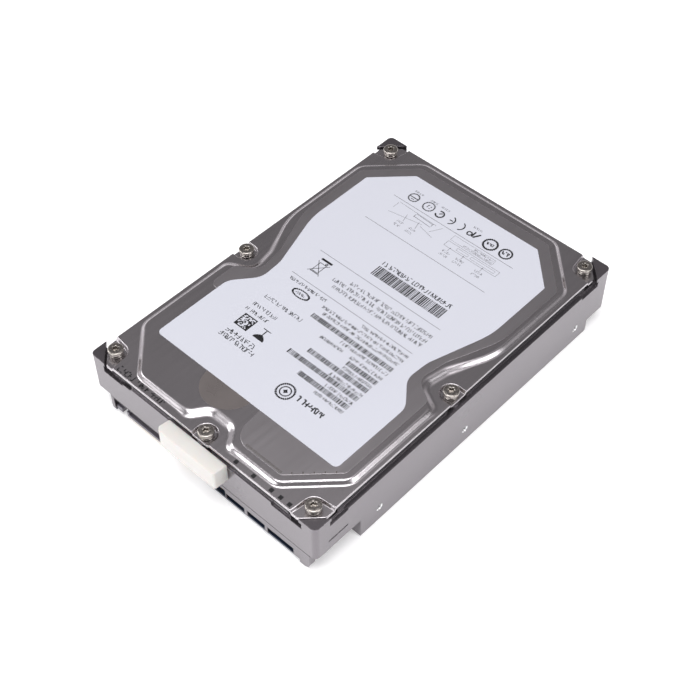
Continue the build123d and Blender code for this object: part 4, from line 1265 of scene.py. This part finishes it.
class DRIVE_OT_end_block(bpy.types.Operator):
    """Make the white block on the connector end"""
    bl_idname = "drive.end_block"
    bl_label = "End block"

    def execute(self, context):
        looks = finishes(context.scene)
        (x0, y0, z0), (x1, y1, z1) = BLOCK
        front, rise, chamfer = y0 - END_Y, 0.9, 1.4
        low, high = z0, z1 - rise
        profile = [(0, low), (0, high), (front, high + rise), (front, low + rise / 2)]
        verts = []
        for x, pull in ((x0, chamfer), (x0 + chamfer, 0), (x1 - 0.5, 0), (x1, 0.5)):
            for k, (y, z) in enumerate(profile):
                verts.append((x, y + (pull if k > 1 else 0), z))
        faces = [(0, 1, 2, 3), (15, 14, 13, 12)]
        for k in range(3):
            a, b = 4 * k, 4 * (k + 1)
            faces += [(a + i, b + i, b + (i + 1) % 4, a + (i + 1) % 4) for i in range(4)]
        obj = new_piece("end_block", verts, faces, looks["white_plastic"])
        bevelled(obj, context.scene.drive_body.block_bevel / MM)
        finish_mesh(obj.data, looks["white_plastic"])
        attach(obj, "chassis")
        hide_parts("end_bumper_block")
        return {"FINISHED"}


# ---------------------------------------------------------------- casting and board details

SIDE_HOLES_Y = (28.5, 70.1, 130.1)
SIDE_HOLE_Z = 6.35
BOTTOM_HOLES = [(x, y) for x in (-47.625, 47.625) for y in (41.28, 85.73)]
HOLE_RADIUS = 1.42
HOLE_DEPTH = 5.5


def thread_shape(pitch):
    """A sleeve of thread ridges below a cone-shaped mouth, drawn along z from 0 down to -depth."""
    root, crest, outside = HOLE_RADIUS - 0.02, HOLE_RADIUS - 0.2, HOLE_RADIUS - 0.005
    mouth, end = -0.04, -HOLE_DEPTH + 0.1
    loop = [(root, mouth), (HOLE_RADIUS - 0.42, -0.44)]
    z = -0.75
    while z > -HOLE_DEPTH + pitch + 0.2:
        loop += [(root, z), (crest, z - pitch * 0.45), (root, z - pitch * 0.9)]
        z -= pitch
    loop += [(root, end), (outside, end), (outside, mouth)]
    sides = 28
    turns = [2 * math.pi * k / sides for k in range(sides)]
    verts = [(radius * math.cos(a), radius * math.sin(a), z) for radius, z in loop for a in turns]
    faces = []
    for k in range(len(loop)):
        faces += quads(k * sides, (k + 1) % len(loop) * sides, sides)
    return verts, faces


class DRIVE_OT_threads(bpy.types.Operator):
    """Cut bright threads with a cone-shaped mouth in the mounting holes"""
    bl_idname = "drive.threads"
    bl_label = "Mounting threads"

    def execute(self, context):
        looks = finishes(context.scene)
        verts, faces = thread_shape(context.scene.drive_body.thread_pitch / MM)
        places = [(x, y, 0.0, (math.pi, 0, 0)) for x, y in BOTTOM_HOLES]
        for side in (-1, 1):
            turn = (0, side * math.pi / 2, 0)
            places += [(side * HALF_WIDTH, y, SIDE_HOLE_Z, turn) for y in SIDE_HOLES_Y]
        obj = copies("mounting_threads", verts, faces, places, looks["aluminium"], 30.0)
        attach(obj, "chassis")
        return {"FINISHED"}


class DRIVE_OT_board_details(bpy.types.Operator):
    """Lay tracks, pads and test points on the lower face of the board"""
    bl_idname = "drive.board_details"
    bl_label = "Board details"

    def execute(self, context):
        looks = finishes(context.scene)
        dice = random.Random(11)
        low_y, high_y = BOARD[0].y - END_Y + 12, BOARD[1].y - END_Y - 16
        tracks, pads = [], []
        for _ in range(46):
            x, y = dice.uniform(-34, 34), dice.uniform(low_y, high_y)
            for _ in range(dice.randint(2, 4)):
                turn = dice.choice((0, 0.5, 0.25, -0.25)) * math.pi
                size = dice.uniform(3, 11)
                nx, ny = x + size * math.cos(turn), y + size * math.sin(turn)
                if abs(nx) > 37 or not low_y < ny < high_y:
                    break
                tracks.append(((x + nx) / 2, (y + ny) / 2, size + 0.2, 0.22, turn))
                x, y = nx, ny
            pads.append((x, y, 0.9, 0.9, math.pi / 4))
        for column in range(12):
            for row in range(12):
                if dice.random() < 0.7:
                    pads.append((-18.6 + column * 1.2, 37.4 + row * 1.2, 0.42, 0.42, 0.0))
        for x0, y0, count in ((-34, 30, 8), (10, 22, 10), (16, 58, 6)):
            for k in range(count):
                pads += [(x0 + 2.2 * k, y0, 0.8, 1.1, 0.0), (x0 + 2.2 * k, y0 + 1.7, 0.8, 1.1, 0.0)]
        bottom = BOARD[0].z
        layers = (("board_tracks", tracks, 0.02, "track"), ("board_pads", pads, 0.035, "tin"))
        for name, marks, height, look in layers:
            obj = print_marks(name, marks, bottom - height + 0.004, height, looks[look])
            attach(obj, "chassis")
        return {"FINISHED"}


# ---------------------------------------------------------------- stage

# Each soft lamp faces the drive: its name, place and size in metres, and watts.
LAMPS = (
    ("lamp_over", (0.08, -0.22, 1.3), (0.95, 0.8), 9),
    ("lamp_front", (-0.35, -1.3, 0.7), (0.9, 0.5), 5.5),
    ("lamp_left", (-1.15, -0.5, 1.05), (0.8, 0.6), 6),
    ("lamp_side", (1.3, 0.1, 0.6), (0.8, 0.5), 2),
    ("lamp_back", (0.98, 0.27, 0.88), (0.5, 0.5), 3),
)
# The sky's brightness by height, from the horizon at 0 to overhead at 1.
SKY = ((0.0, 0.9), (0.25, 0.6), (0.5, 0.22), (0.8, 0.16), (0.9, 0.5), (1.0, 1.6))
SKY_TINT = (1.0, 0.965, 0.985)
LOOKED_AT = (3.9, 1.855, 13.0)  # millimetres in the frame's axes
FLOOR_SIZE = 6.0
FLOOR_GLOW = 0.35  # keeps the floor pale under the drive


def area_light(name, at, size, watts):
    data = bpy.data.lights.new(name, "AREA")
    data.shape, data.size, data.size_y = "RECTANGLE", size[0], size[1]
    data.energy = watts
    obj = bpy.data.objects.new(name, data)
    obj.location = at
    obj.rotation_euler = (-Vector(at)).to_track_quat("-Z", "Y").to_euler()
    bpy.context.scene.collection.objects.link(obj)


def studio_world():
    """A pale studio: light near the horizon, darker above it and bright overhead."""
    world = bpy.data.worlds.new("studio")
    bpy.context.scene.world = world
    world.use_nodes = True
    nodes, links = world.node_tree.nodes, world.node_tree.links
    background = nodes["Background"]
    where = nodes.new("ShaderNodeTexCoord")
    split = nodes.new("ShaderNodeSeparateXYZ")
    ramp = nodes.new("ShaderNodeValToRGB")
    links.new(where.outputs["Generated"], split.inputs[0])
    links.new(split.outputs["Z"], ramp.inputs["Fac"])
    links.new(ramp.outputs["Color"], background.inputs["Color"])
    stops = ramp.color_ramp.elements
    for height, _ in SKY[1:-1]:
        stops.new(height)
    for stop, (_, value) in zip(stops, SKY):
        stop.color = (*(value * share for share in SKY_TINT), 1.0)


class DRIVE_OT_stage(bpy.types.Operator):
    """Set the floor, the soft lights and the camera"""
    bl_idname = "drive.stage"
    bl_label = "Stage"

    def execute(self, context):
        s = context.scene.drive_stage
        bpy.ops.mesh.primitive_plane_add(size=FLOOR_SIZE, location=(0, 0, CAD_BOX[0].z))
        floor = context.object
        floor.name = "floor"
        paper = layered("floor paper", tuple(s.floor), 0.0, 0.6, grain=30, vary=0.01, bump=0.01)
        paper.shader.inputs["Emission Color"].default_value = (*s.floor, 1.0)
        paper.shader.inputs["Emission Strength"].default_value = FLOOR_GLOW
        floor.data.materials.append(paper.material)
        studio_world()
        for lamp in LAMPS:
            area_light(*lamp)
        a, e = s.azimuth, s.elevation
        back = Vector((math.sin(a) * math.cos(e), -math.cos(a) * math.cos(e), math.sin(e)))
        data = bpy.data.cameras.new("camera")
        data.lens, data.sensor_width = s.lens, 36.0
        data.clip_start, data.clip_end = 0.01, 20.0
        camera = bpy.data.objects.new("camera", data)
        camera.location = Vector(LOOKED_AT) * MM + back * s.distance
        camera.rotation_mode = "QUATERNION"
        camera.rotation_quaternion = (-back).to_track_quat("-Z", "Y")
        context.scene.collection.objects.link(camera)
        context.scene.camera = camera
        context.scene.view_settings.view_transform = "Standard"
        return {"FINISHED"}


# ---------------------------------------------------------------- panel and registration

OPERATORS = (
    DRIVE_OT_finishes, DRIVE_OT_cover, DRIVE_OT_damping_plate, DRIVE_OT_label, DRIVE_OT_cover_marks,
    DRIVE_OT_screws, DRIVE_OT_end_block, DRIVE_OT_threads, DRIVE_OT_board_details, DRIVE_OT_stage,
)
SETTINGS = {
    "drive_cover": CoverSettings, "drive_screws": ScrewSettings, "drive_label": LabelSettings,
    "drive_body": BodySettings, "drive_stage": StageSettings,
}


class DRIVE_PT_panel(bpy.types.Panel):
    """Sizes, colours and steps of the drive"""
    bl_idname = "DRIVE_PT_panel"
    bl_label = "Hard disk drive"
    bl_space_type = "VIEW_3D"
    bl_region_type = "UI"
    bl_category = "Drive"

    def draw(self, context):
        for name, kind in SETTINGS.items():
            box = self.layout.box()
            for prop in kind.__annotations__:
                box.prop(getattr(context.scene, name), prop)
        for operator in OPERATORS:
            self.layout.operator(operator.bl_idname)


def register():
    for kind in (*SETTINGS.values(), *OPERATORS, DRIVE_PT_panel):
        bpy.utils.register_class(kind)
    for name, kind in SETTINGS.items():
        setattr(bpy.types.Scene, name, PointerProperty(type=kind))


def unregister():
    for name in SETTINGS:
        delattr(bpy.types.Scene, name)
    for kind in reversed((*SETTINGS.values(), *OPERATORS, DRIVE_PT_panel)):
        bpy.utils.unregister_class(kind)


def main():
    register()
    for operator in OPERATORS:
        group, name = operator.bl_idname.split(".")
        getattr(getattr(bpy.ops, group), name)()


if __name__ == "__main__":
    main()
